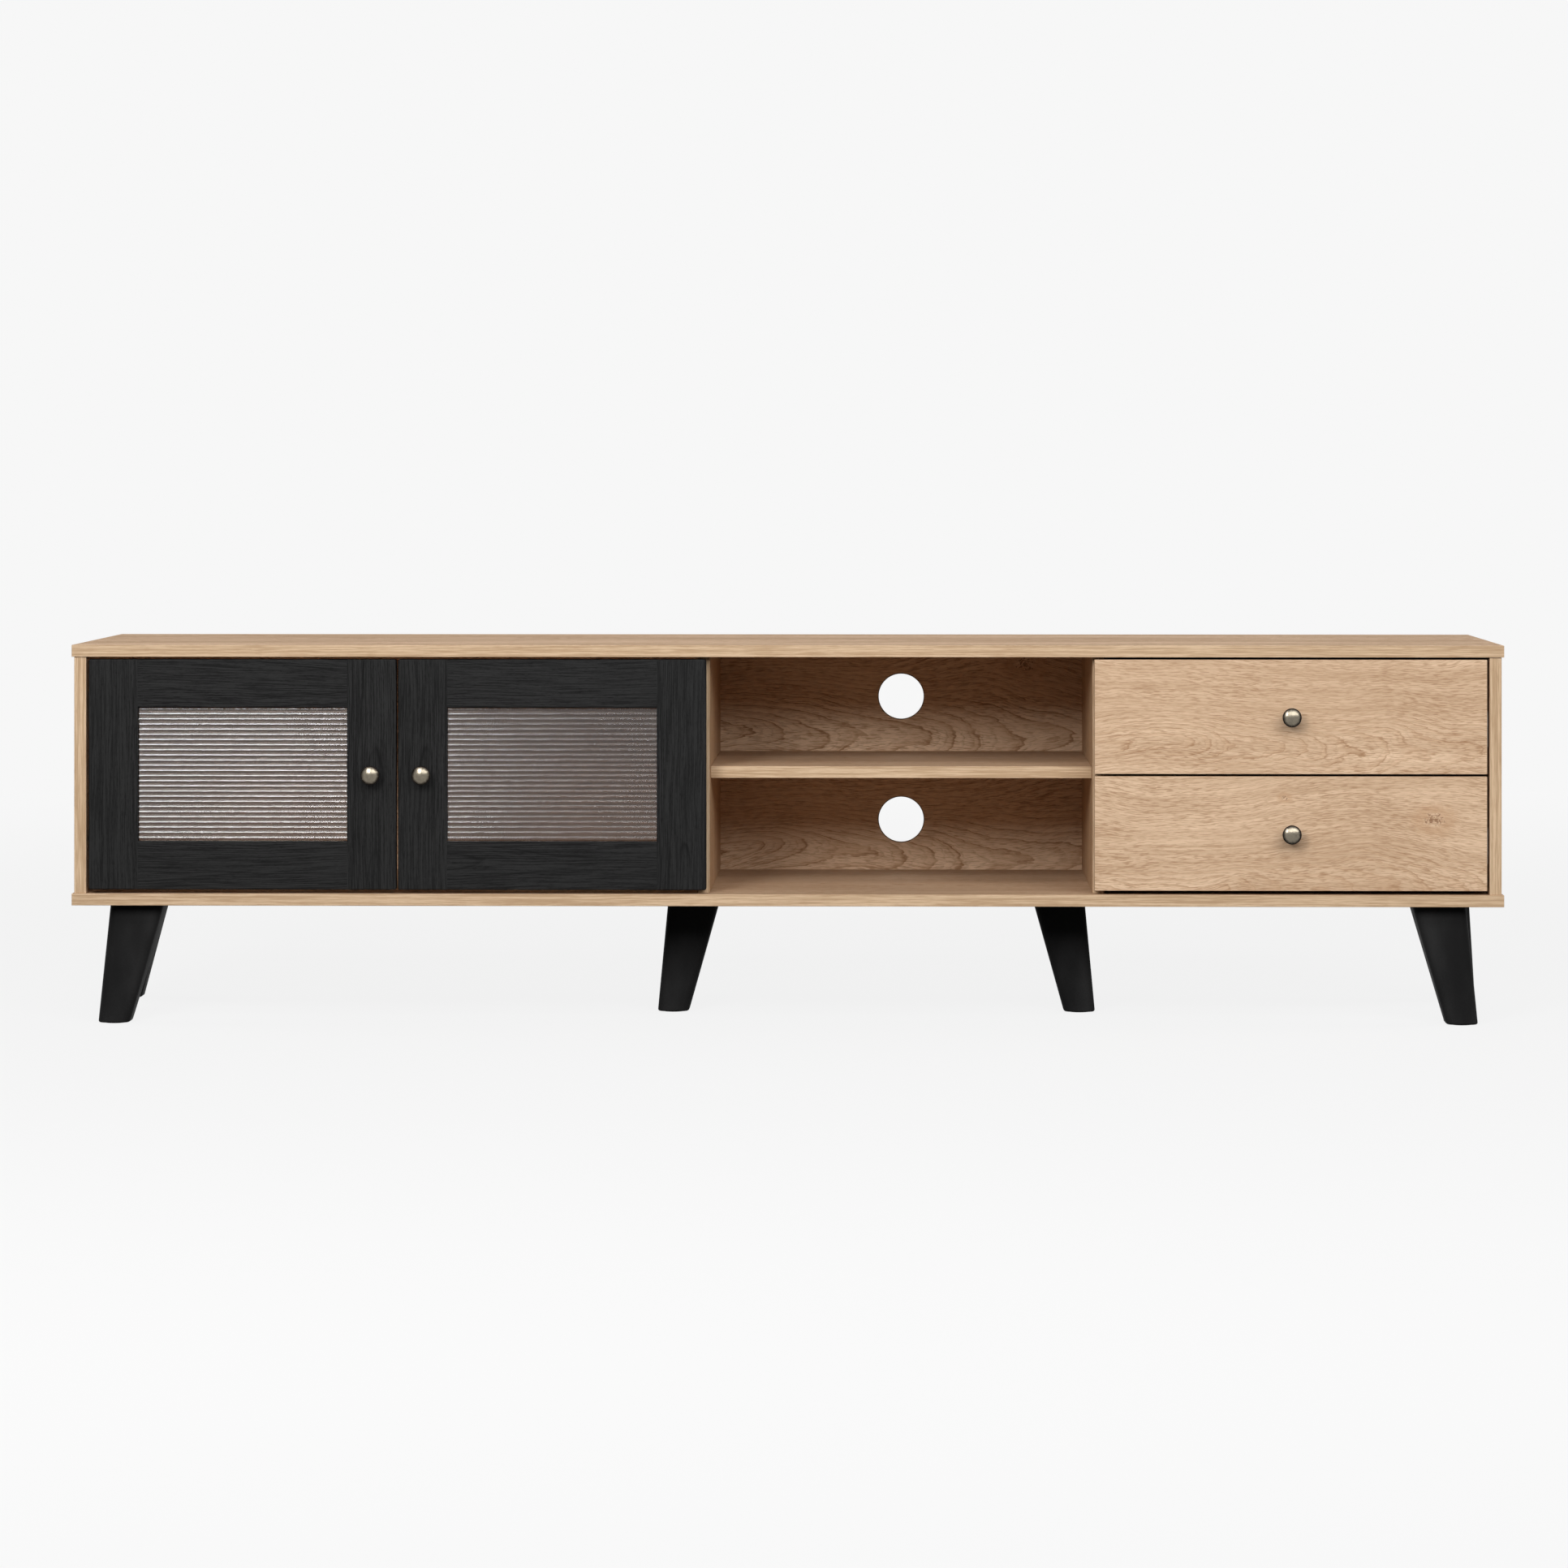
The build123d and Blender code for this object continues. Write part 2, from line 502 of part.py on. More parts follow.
def hinge(name, edge_x, inward, panel_face_x, panel, z):
    """One cup hinge: a cup and pin in the door, and an arm on a plate on the cabinet's panel.

    The arm's neck dips into the cup and turns on the pin there, clear of the door's edge.
    """
    def across(u):
        return edge_x + inward * u

    cup_u = CUP_EDGE_DISTANCE + CUP_RADIUS
    rear = FRONT_BACK_Y
    floor_y = rear - CUP_BORE_DEPTH
    pivot = Vector(across(PIVOT_EDGE_DISTANCE), rear - PIVOT_REAR_DEPTH, z)
    stile_node = f"{name}_hinge_stile"
    cups, screws = f"{name}_hinge_cups", f"{name}_screws"

    outer = CUP_RADIUS - CUP_CLEARANCE
    centre = Vector(across(cup_u), floor_y + CUP_CLEARANCE, z)
    cup_depth = CUP_BORE_DEPTH - CUP_CLEARANCE + CUP_FLANGE_THICKNESS
    flange_plane = Plane(origin=(across(cup_u), rear, z), x_dir=(1, 0, 0), z_dir=(0, 1, 0))
    flange_outline = RectangleRounded(CUP_FLANGE_WIDTH, CUP_FLANGE_LENGTH, CUP_FLANGE_CORNER)
    flange = extrude(flange_plane * flange_outline, CUP_FLANGE_THICKNESS)
    hollow = rod(centre + BACKWARD * CUP_WALL, BACKWARD, cup_depth, outer - CUP_WALL)
    solid_cup = rod(centre, BACKWARD, cup_depth, outer)
    cup = solid_cup + flange - hollow
    ear_low = ARM_NECK_WIDTH / 2 + PIN_EAR_GAP
    pin_half = ear_low + PIN_EAR_WIDTH
    ear_x = (pivot.X - PIN_EAR_REACH, pivot.X + PIN_EAR_REACH)
    for side in (-1, 1):
        ear_z = (z + side * ear_low, z + side * pin_half)
        cup += block(ear_x, (centre.Y, pivot.Y + PIN_EAR_REACH), ear_z) & solid_cup
    pin = rod(pivot - UP * pin_half, UP, 2 * pin_half, PIVOT_PIN_RADIUS)
    add(cups, cup - pin, pin)
    cut(stile_node, rod((across(cup_u), floor_y, z), BACKWARD, CUP_BORE_DEPTH, CUP_RADIUS))
    for side in (-1, 1):
        screw_x, screw_z = across(cup_u + CUP_SCREW_OFFSET), z + side * CUP_SCREW_SPACING / 2
        point = Vector(screw_x, rear + CUP_FLANGE_THICKNESS, screw_z)
        pan_screw(screws, point, FORWARD, cups, stile_node)

    half_neck = ARM_NECK_THICKNESS / 2
    neck_z = (z - ARM_NECK_WIDTH / 2, z + ARM_NECK_WIDTH / 2)
    neck_u = (ARM_NECK_EDGE_DISTANCE - half_neck, ARM_NECK_EDGE_DISTANCE + half_neck)
    bridge_y = rear + ARM_BRIDGE_CLEARANCE
    plate_x = panel_face_x + inward * PLATE_THICKNESS
    body_x = (plate_x, plate_x + inward * ARM_BODY_HEIGHT)
    dip = block(
        (pivot.X, across(neck_u[1])), (pivot.Y - half_neck, pivot.Y + half_neck), neck_z
    )
    rise = block(
        (across(neck_u[0]), across(neck_u[1])), (pivot.Y - half_neck, bridge_y + ARM_NECK_THICKNESS), neck_z
    )
    bridge = block((plate_x, across(neck_u[1])), (bridge_y, bridge_y + ARM_NECK_THICKNESS), neck_z)
    body = block(
        body_x, (bridge_y, bridge_y + ARM_BODY_LENGTH), (z - ARM_BODY_WIDTH / 2, z + ARM_BODY_WIDTH / 2)
    )
    knuckle = rod(pivot - UP * (ARM_NECK_WIDTH / 2), UP, ARM_NECK_WIDTH, KNUCKLE_RADIUS)
    bore = rod(
        pivot - UP * ARM_NECK_WIDTH, UP, 2 * ARM_NECK_WIDTH, PIVOT_PIN_RADIUS + PIVOT_RUNNING_CLEARANCE
    )
    add("hinge_arms", dip + rise + bridge + body + knuckle - bore)

    plate_y = (bridge_y + ARM_BODY_LENGTH - PLATE_LENGTH, bridge_y + ARM_BODY_LENGTH)
    plate = block((panel_face_x, plate_x), plate_y, (z - PLATE_WIDTH / 2, z + PLATE_WIDTH / 2))
    add("hinge_plates", plate)
    for side in (-1, 1):
        point = Vector(plate_x, sum(plate_y) / 2, z + side * PLATE_SCREW_SPACING / 2)
        pan_screw("hardware_screws", point, RIGHT * -inward, "hinge_plates", panel)


def door(name, low_x, high_x, hinge_side, panel_face_x, panel):
    """A framed and glazed door, hinged on its left (-1) or right (+1) edge."""
    low_z, high_z = FRONT_LOW_Z, FRONT_HIGH_Z
    opening_x = (low_x + STILE_WIDTH, high_x - STILE_WIDTH)
    opening_z = (low_z + RAIL_WIDTH, high_z - RAIL_WIDTH)
    left_stile, right_stile = f"{name}_hinge_stile", f"{name}_meeting_stile"
    if hinge_side > 0:
        left_stile, right_stile = right_stile, left_stile
    add(left_stile, stile((low_x, opening_x[0]), (low_z, high_z), -1))
    add(right_stile, stile((opening_x[1], high_x), (low_z, high_z), 1))
    rail_spans = {"bottom": (low_z, opening_z[0]), "top": (opening_z[1], high_z)}
    for level, rail_z in rail_spans.items():
        cross_piece, mortise = rail(opening_x, rail_z)
        add(f"{name}_{level}_rail", cross_piece)
        cut(left_stile, mortise)
        cut(right_stile, mortise)
    frame = (left_stile, right_stile, f"{name}_bottom_rail", f"{name}_top_rail")
    glazing(name, opening_x, opening_z, frame)
    hinge_edge = low_x if hinge_side < 0 else high_x
    for z in (low_z + HINGE_END_DISTANCE, high_z - HINGE_END_DISTANCE):
        hinge(name, hinge_edge, -hinge_side, panel_face_x, panel, z)
    knob_x = high_x - STILE_WIDTH / 2 if hinge_side < 0 else low_x + STILE_WIDTH / 2
    knob(f"{name}_knob", f"{name}_screws", knob_x, (low_z + high_z) / 2, f"{name}_meeting_stile")


def doors():
    """The left door lies within the side panel, the right door laps the left divider."""
    low_x, high_x = LEFT_INNER_X + FRONT_GAP, OPEN_LEFT_X - DOOR_REVEAL
    width = (high_x - low_x - MEETING_GAP) / 2
    door("left_door", low_x, low_x + width, -1, LEFT_INNER_X, "left_side_panel")
    door("right_door", high_x - width, high_x, 1, LEFT_DIVIDER_X, "left_divider")


# Drawers


def channel(node, span, away, y, z, half_height):
    """One channel of a slide: a web at the start of the span, and a flange above and below it."""
    web = block((span[0], span[0] + away * SLIDE_METAL), y, (z - half_height, z + half_height))
    top = block(span, y, (z + half_height - SLIDE_METAL, z + half_height))
    bottom = block(span, y, (z - half_height, z - half_height + SLIDE_METAL))
    add(node, web + top + bottom)


def slides(name, box_low_z):
    """The three channels of the slide on each side of a drawer, and their screws."""
    z = box_low_z + SLIDE_RAISE
    y = (FACE_Y + SLIDE_FRONT_SETBACK, DRAWER_REAR_Y)
    half = SLIDE_HEIGHT / 2
    step = SLIDE_METAL + SLIDE_RUNNING_GAP
    sides = (
        (RIGHT_DIVIDER_X, 1, "right_divider", f"{name}_left_side"),
        (RIGHT_INNER_X, -1, "right_side_panel", f"{name}_right_side"),
    )
    for face_x, away, panel, drawer_side in sides:
        outer_span = (face_x, face_x + away * CABINET_RAIL_REACH)
        middle_span = (face_x + away * MIDDLE_RAIL_START, face_x + away * MIDDLE_RAIL_REACH)
        inner_span = (face_x + away * SLIDE_THICKNESS, face_x + away * DRAWER_RAIL_START)
        channel("cabinet_rails", outer_span, away, y, z, half)
        channel(f"{name}_middle_rails", middle_span, away, y, z, half - step)
        channel(f"{name}_rails", inner_span, -away, y, z, half - 2 * step)
        for at_y in (y[0] + SLIDE_SCREW_END_DISTANCE, y[1] - SLIDE_SCREW_END_DISTANCE):
            fixed = Vector(face_x + away * SLIDE_METAL, at_y, z)
            moving = Vector(face_x + away * (SLIDE_THICKNESS - SLIDE_METAL), at_y, z)
            pan_screw("hardware_screws", fixed, RIGHT * -away, "cabinet_rails", panel)
            pan_screw(f"{name}_fixings", moving, RIGHT * away, f"{name}_rails", drawer_side)


def drawer(name, low_z, high_z):
    """A drawer: front, sides, back and bottom, with its knob and fixings."""
    front, fixings = f"{name}_front", f"{name}_fixings"
    low_x, high_x = OPEN_RIGHT_X + DRAWER_REVEAL, RIGHT_INNER_X - FRONT_GAP
    add(front, board((low_x, high_x), (FACE_Y, FRONT_BACK_Y), (low_z, high_z)))
    box_x = (RIGHT_DIVIDER_X + SLIDE_THICKNESS, RIGHT_INNER_X - SLIDE_THICKNESS)
    box_y = (FRONT_BACK_Y, DRAWER_REAR_Y)
    box_z = (low_z + DRAWER_BOX_RAISE, low_z + DRAWER_BOX_RAISE + DRAWER_SIDE_HEIGHT)
    inner_x = (box_x[0] + DRAWER_BOARD, box_x[1] - DRAWER_BOARD)
    add(f"{name}_left_side", board((box_x[0], inner_x[0]), box_y, box_z))
    add(f"{name}_right_side", board((inner_x[1], box_x[1]), box_y, box_z))

    bottom_low = box_z[0] + DRAWER_BOTTOM_RAISE
    bottom_z = (bottom_low, bottom_low + DRAWER_BOTTOM_THICKNESS)
    reach = DRAWER_GROOVE_DEPTH - GROOVE_END_CLEARANCE
    bottom_y = (FRONT_BACK_Y - reach, box_y[1])
    add(f"{name}_bottom", block((inner_x[0] - reach, inner_x[1] + reach), bottom_y, bottom_z))
    groove_z = (bottom_z[0] - GROOVE_SIDE_CLEARANCE, bottom_z[1] + GROOVE_SIDE_CLEARANCE)
    groove = block(
        (inner_x[0] - DRAWER_GROOVE_DEPTH, inner_x[1] + DRAWER_GROOVE_DEPTH),
        (FRONT_BACK_Y - DRAWER_GROOVE_DEPTH, box_y[1]),
        groove_z,
    )
    for holder in (front, f"{name}_left_side", f"{name}_right_side"):
        cut(holder, groove)

    back_y = (box_y[1] - DRAWER_BOARD, box_y[1])
    add(f"{name}_back", board(inner_x, back_y, (groove_z[1], box_z[1])))
    middle_z = sum(box_z) / 2
    for side_node, outer_x, mid_x, inward in (
        (f"{name}_left_side", box_x[0], box_x[0] + DRAWER_BOARD / 2, RIGHT),
        (f"{name}_right_side", box_x[1], box_x[1] - DRAWER_BOARD / 2, LEFT),
    ):
        for side in (-1, 1):
            joint = Vector(mid_x, FRONT_BACK_Y, middle_z + side * DRAWER_CAM_SPACING / 2)
            cam_fitting(fixings, joint, FORWARD, inward, side_node, DRAWER_BOARD, front)
        for drop in DRAWER_BACK_SCREW_DROPS:
            head = Vector(outer_x, sum(back_y) / 2, box_z[1] - drop)
            pan_screw(fixings, head, inward, side_node, f"{name}_back", length=DRAWER_BACK_SCREW_LENGTH)

    knob(f"{name}_knob", fixings, (low_x + high_x) / 2, (low_z + high_z) / 2, front)
    slides(name, box_z[0])


def drawers():
    """Two drawers of equal height, one above the other."""
    height = (FRONT_HIGH_Z - FRONT_LOW_Z - DRAWER_FRONT_GAP) / 2
    drawer("lower_drawer", FRONT_LOW_Z, FRONT_LOW_Z + height)
    drawer("upper_drawer", FRONT_HIGH_Z - height, FRONT_HIGH_Z)


def write():
    """Cuts each node's holes and writes one file for each node."""
    os.makedirs("parts", exist_ok=True)
    for node, shapes in pieces.items():
        holes = tools.get(node, [])
        solids = []
        for shape in shapes:
            finished = shape - holes if holes else shape
            solids.extend(finished.solids())
        export_step(Compound(solids), f"parts/{node}.step")


outer_boards()
upright_joints()
shelf()
back_panels()
legs()
doors()
drawers()
write()
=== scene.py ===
import logging
import math
from dataclasses import dataclass
from enum import Enum
from functools import lru_cache, partial, reduce
from typing import Any, Sequence, Union

import bpy
import numpy as np
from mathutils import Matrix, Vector


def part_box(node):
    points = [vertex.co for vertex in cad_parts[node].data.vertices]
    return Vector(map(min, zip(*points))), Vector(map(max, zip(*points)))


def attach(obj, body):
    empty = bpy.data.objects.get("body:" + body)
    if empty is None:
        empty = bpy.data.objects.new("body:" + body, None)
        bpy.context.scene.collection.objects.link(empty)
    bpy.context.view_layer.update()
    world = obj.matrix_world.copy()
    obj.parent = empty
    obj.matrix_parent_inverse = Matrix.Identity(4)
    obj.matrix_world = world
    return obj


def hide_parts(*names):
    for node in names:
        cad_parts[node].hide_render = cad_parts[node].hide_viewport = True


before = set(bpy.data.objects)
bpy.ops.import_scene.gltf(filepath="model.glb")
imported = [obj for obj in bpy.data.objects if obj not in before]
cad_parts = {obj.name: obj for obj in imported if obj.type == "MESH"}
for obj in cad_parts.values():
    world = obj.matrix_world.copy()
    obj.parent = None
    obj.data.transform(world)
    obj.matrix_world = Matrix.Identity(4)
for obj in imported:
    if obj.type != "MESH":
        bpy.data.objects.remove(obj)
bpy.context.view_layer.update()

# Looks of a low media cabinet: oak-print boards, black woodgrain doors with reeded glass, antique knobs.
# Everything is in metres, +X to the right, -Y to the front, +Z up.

LOG = logging.getLogger("media_cabinet")
MM = 0.001

Material = bpy.types.Material
Node = bpy.types.Node
NodeTree = bpy.types.NodeTree
Object = bpy.types.Object
Socket = bpy.types.NodeSocket
Feed = Union[Socket, float, Sequence[float]]
Colour = tuple[float, float, float]


class Axis(Enum):
    """An axis of the cabinet, as an index into a point."""

    X = 0
    Y = 1
    Z = 2


class Slot(Enum):
    """Slot names for the pieces that are made here; nothing in the script uses them."""

    GLASS = "reeded_glass"
    KNOB = "knob_metal"
    LEG = "leg_plastic"


class Mixed(Enum):
    """What a Mix node mixes: Blender's name, the number of its first input and of its output."""

    PLACE = ("VECTOR", 4, 1)
    COLOUR = ("RGBA", 6, 2)


# Node building


class Graph:
    """Places shader nodes in one node tree and joins them."""

    def __init__(self, tree: NodeTree) -> None:
        """Keeps the tree that the nodes go into."""
        self.tree = tree

    def node(self, kind: str, **options: Any) -> Node:
        """Adds a node.

        Args:
            kind: Blender's name of the node type.
            options: properties to set on the node.

        Returns:
            The new node.
        """
        made = self.tree.nodes.new(kind)
        for name, value in options.items():
            setattr(made, name, value)
        return made

    def feed(self, socket: Socket, value: Feed) -> None:
        """Links a socket to an output, or sets its plain value.

        Args:
            socket: the input to feed.
            value: an output socket, a number, or the parts of a colour or a vector.
        """
        if isinstance(value, Socket):
            self.tree.links.new(value, socket)
        elif socket.type == "RGBA":
            socket.default_value = (*value[:3], 1.0)
        else:
            socket.default_value = value

    def fill(self, sockets: Any, **values: Feed) -> None:
        """Feeds a node's inputs by name, where an underscore stands for a space."""
        for name, value in values.items():
            self.feed(sockets[name.replace("_", " ")], value)

    def result(self, kind: str, values: Sequence[Feed], output: int = 0, **options: Any) -> Socket:
        """Adds a node, feeds its first inputs in order and gives one of its outputs.

        Args:
            kind: Blender's name of the node type.
            values: what the inputs take.
            output: the number of the output.
            options: properties to set on the node.

        Returns:
            The output.
        """
        made = self.node(kind, **options)
        for socket, value in zip(made.inputs, values):
            self.feed(socket, value)
        return made.outputs[output]

    def math(self, operation: str, *values: Feed) -> Socket:
        """The result of a Math node on one to three values."""
        return self.result("ShaderNodeMath", values, operation=operation)

    def times(self, *values: Feed) -> Socket:
        """The product of two or more values."""
        return reduce(partial(self.math, "MULTIPLY"), values)

    def plus(self, *values: Feed) -> Socket:
        """The sum of two or more values."""
        return reduce(partial(self.math, "ADD"), values)

    def linear(self, value: Feed, rate: Feed, start: Feed) -> Socket:
        """The start plus the rate times the value."""
        return self.math("MULTIPLY_ADD", value, rate, start)

    def blend(self, share: float, first: Feed, second: Feed) -> Socket:
        """A share of the first value plus the rest of the second."""
        return self.linear(first, share, self.times(second, 1 - share))

    def vector(self, operation: str, *values: Feed) -> Socket:
        """The vector result of a Vector Math node."""
        return self.result("ShaderNodeVectorMath", values, operation=operation)

    def length(self, value: Feed) -> Socket:
        """The length of a vector."""
        return self.result("ShaderNodeVectorMath", (value,), 1, operation="LENGTH")

    def split(self, value: Feed) -> tuple[Socket, ...]:
        """The three parts of a vector."""
        return tuple(self.result("ShaderNodeSeparateXYZ", (value,)).node.outputs)

    def join(self, *parts: Feed) -> Socket:
        """A vector from its three parts."""
        return self.result("ShaderNodeCombineXYZ", parts)

    def noise(self, place: Feed, scale: Feed, detail: float = 1.0) -> Socket:
        """Smooth noise about one half.

        Args:
            place: where the noise is read.
            scale: waves per metre along each axis of the place.
            detail: octaves added to the first one.

        Returns:
            The value, mostly between 0.25 and 0.75.
        """
        made = self.node("ShaderNodeTexNoise")
        self.fill(made.inputs, Vector=self.vector("MULTIPLY", place, scale), Scale=1.0, Detail=detail)
        return made.outputs[0]

    def centred(self, place: Feed, scale: Feed, detail: float = 1.0) -> Socket:
        """The same noise about zero."""
        return self.math("SUBTRACT", self.noise(place, scale, detail), 0.5)

    def ramp(self, value: Feed, low: float, high: float, start: float = 0.0, end: float = 1.0) -> Socket:
        """A smooth step of the value: start below low, end above high."""
        values = (value, low, high, start, end)
        return self.result("ShaderNodeMapRange", values, interpolation_type="SMOOTHSTEP")

    def hump(self, value: Feed, rise: Sequence[float], fall: Sequence[float]) -> Socket:
        """1 between a rising and a falling step of the value, 0 outside them."""
        return self.times(self.ramp(value, *rise), self.ramp(value, *fall, 1.0, 0.0))

    def mix(self, factor: Feed, first: Feed, second: Feed, kind: Mixed = Mixed.COLOUR) -> Socket:
        """A colour or a place between two others.

        Args:
            factor: 0 for the first, 1 for the second.
            first: one colour or place.
            second: the other.
            kind: which of the two they are.

        Returns:
            The mixed colour or place.
        """
        data_type, start, output = kind.value
        made = self.node("ShaderNodeMix", data_type=data_type)
        for index, item in ((0, factor), (start, first), (start + 1, second)):
            self.feed(made.inputs[index], item)
        return made.outputs[output]

    def group(self, tree: NodeTree, **values: Feed) -> Any:
        """Places a node group.

        Args:
            tree: the group.
            values: what its inputs take, by name.

        Returns:
            The group's outputs.
        """
        made = self.node("ShaderNodeGroup", node_tree=tree)
        self.fill(made.inputs, **values)
        return made.outputs

    def bump(self, height: Feed, depth: float, strength: float = 1.0) -> Socket:
        """A normal from a height.

        Args:
            height: the relief, 0 to 1.
            depth: how deep a height of 1 is, in metres.
            strength: how much of it shows.

        Returns:
            The normal.
        """
        made = self.node("ShaderNodeBump")
        self.fill(made.inputs, Strength=strength, Distance=depth, Height=height)
        return made.outputs[0]


SOCKET_KINDS = {float: "NodeSocketFloat", tuple: "NodeSocketVector"}


def new_group(name: str, inputs: dict[str, Any], outputs: Sequence[str]) -> tuple[Graph, Any, Any]:
    """Starts a shader node group with named sockets.

    Args:
        name: the group's name.
        inputs: each input's name with its plain value.
        outputs: the names of the outputs, all plain values.

    Returns:
        The group's graph, the sockets that bring its inputs, and the sockets that take its outputs.
    """
    tree = bpy.data.node_groups.new(name, "ShaderNodeTree")
    for label, value in inputs.items():
        made = tree.interface.new_socket(label, in_out="INPUT", socket_type=SOCKET_KINDS[type(value)])
        made.default_value = value
    for label in outputs:
        tree.interface.new_socket(label, in_out="OUTPUT", socket_type="NodeSocketFloat")
    graph = Graph(tree)
    return graph, graph.node("NodeGroupInput").outputs, graph.node("NodeGroupOutput").inputs


# Patterns shared by the finishes


ORIGIN = (0.0, 0.0, 0.0)
# The range that most of a noise's values lie in.
MIDDLE = (0.36, 0.64)


@lru_cache
def fibre_group() -> NodeTree:
    """Wood fibre along the first axis: long streaks, and short dark dashes where pores are cut.

    Returns:
        The group.
    """
    graph, given, made = new_group("fibre", {"Position": ORIGIN}, ("Streak", "Dash"))
    place = given["Position"]
    broad = graph.noise(place, (2.5, 160.0, 160.0), 3.0)
    narrow = graph.noise(place, (10.0, 520.0, 520.0))
    streak = graph.ramp(graph.blend(0.6, broad, narrow), *MIDDLE)
    patch = graph.ramp(graph.noise(place, (6.0, 30.0, 30.0)), 0.34, 0.62, 0.6, 1.0)
    dash = graph.ramp(graph.noise(place, (80.0, 1100.0, 1100.0)), 0.49, 0.62)
    graph.fill(made, Streak=streak, Dash=graph.times(dash, patch))
    return graph.tree


@lru_cache
def ring_group() -> NodeTree:
    """Growth rings cut by a board.

    The ring radius at a point is the root of (distance across from the heart) squared plus (depth of the
    heart below the face) squared. The depth grows along the board by Tilt, which draws the rings out into
    pointed arches. The hearts repeat across the board. Each ring is a soft shade that deepens to one thin
    broken line. Flow is the distance across as the fibres run, which sway with the rings.

    Returns:
        The group.
    """
    inputs = {"Position": ORIGIN, "Heart": 0.0, "Depth": 0.03, "Tilt": 0.06, "Spacing": 0.005}
    inputs |= {"Repeat": 0.3, "Waver": 1.0, "Bend": 0.0}
    graph, given, made = new_group("growth_rings", inputs, ("Line", "Shade", "Near", "Flow"))
    place = given["Position"]
    along, across, _ = graph.split(place)

    def sway(size: float, waves: Sequence[float], detail: float = 1.0) -> Socket:
        """Noise about zero, of a given size in metres."""
        return graph.times(graph.centred(place, waves, detail), size, given["Waver"])

    flow = graph.plus(across, sway(0.07, (3.4, 6.0, 6.0)), sway(0.009, (13.0, 30.0, 30.0)))
    half = graph.times(given["Repeat"], 0.5)
    from_heart = graph.math("SUBTRACT", flow, given["Heart"])
    offset = graph.math("WRAP", from_heart, half, graph.times(half, -1.0))
    depth = graph.plus(graph.linear(along, given["Tilt"], given["Depth"]), sway(0.022, (9.0, 9.0, 9.0)))
    root = graph.math("SQRT", graph.plus(graph.times(offset, offset), graph.times(depth, depth)))
    radius = graph.plus(root, sway(0.0026, (60.0, 200.0, 200.0), 2.0), given["Bend"])
    turns = graph.math("DIVIDE", radius, given["Spacing"])
    phase = graph.math("FRACT", turns)
    sharp = graph.hump(phase, (0.82, 0.93), (0.95, 1.0))
    between = graph.math("FRACT", graph.linear(turns, 2.7, 0.4))
    faint = graph.hump(between, (0.6, 0.9), (0.92, 1.0))
    lasting = graph.ramp(graph.noise(place, (12.0, 60.0, 60.0)), 0.34, 0.6, 0.35, 1.0)
    line = graph.math("MAXIMUM", sharp, graph.times(faint, 0.4))
    shade = graph.hump(phase, (0.3, 0.95), (0.95, 1.0))
    near = graph.ramp(graph.math("ABSOLUTE", offset), 0.02, 0.085, 1.0, 0.0)
    graph.fill(made, Line=graph.times(line, lasting), Shade=shade, Near=near, Flow=flow)
    return graph.tree


@lru_cache
def knot_group() -> NodeTree:
    """A knot: a dark broken core in a pale ring, which pushes the growth rings aside.

    Returns:
        The group.
    """
    inputs = {"Position": ORIGIN, "Centre": ORIGIN, "Size": 0.01}
    graph, given, made = new_group("knot", inputs, ("Core", "Halo", "Bend"))
    place = given["Position"]
    away = graph.vector("SUBTRACT", place, given["Centre"])
    away = graph.vector("MULTIPLY", away, (0.7, 1.0, 0.0))
    ragged = graph.centred(place, (220.0, 260.0, 260.0), 2.0)
    distance = graph.math("DIVIDE", graph.length(away), given["Size"])
    distance = graph.linear(ragged, 1.3, distance)
    arcs = graph.ramp(graph.math("SINE", graph.times(distance, 14.0)), -0.1, 0.6)
    broken = graph.ramp(graph.noise(place, (300.0, 300.0, 300.0)), 0.42, 0.58)
    inside = graph.ramp(distance, 0.65, 1.05, 1.0, 0.0)
    middle = graph.ramp(distance, 0.1, 0.4, 1.0, 0.0)
    marks = graph.math("MAXIMUM", graph.times(arcs, broken), middle)
    halo = graph.hump(distance, (0.5, 0.9), (1.0, 2.2))
    swell = graph.math("EXPONENT", graph.times(distance, distance, -0.4))
    bend = graph.times(swell, given["Size"])
    graph.fill(made, Core=graph.times(marks, inside), Halo=halo, Bend=bend)
    return graph.tree


@lru_cache
def pressed_group() -> NodeTree:
    """Pressed wood: chips or fibres of many tones lying every way.

    Returns:
        The group.
    """
    graph, given, made = new_group("pressed_wood", {"Position": ORIGIN, "Grain": 400.0}, ("Tone",))
    chips = graph.node("ShaderNodeTexVoronoi")
    graph.fill(chips.inputs, Vector=graph.vector("MULTIPLY", given["Position"], given["Grain"]), Scale=1.0)
    shade = graph.split(chips.outputs["Color"])[0]
    dust = graph.noise(given["Position"], (900.0, 900.0, 900.0), 2.0)
    graph.fill(made, Tone=graph.blend(0.7, shade, dust))
    return graph.tree


@lru_cache
def speckle_group() -> NodeTree:
    """A fine spark-eroded grain on moulded or cast pieces, with slow changes of tone.

    Returns:
        The group.
    """
    graph, given, made = new_group("speckle", {"Position": ORIGIN, "Grain": 1500.0}, ("Tone", "Height"))
    fine = graph.noise(given["Position"], given["Grain"], 2.0)
    slow = graph.noise(given["Position"], (22.0, 22.0, 9.0), 2.0)
    graph.fill(made, Tone=graph.ramp(graph.blend(0.35, fine, slow), *MIDDLE), Height=fine)
    return graph.tree


# Finishes


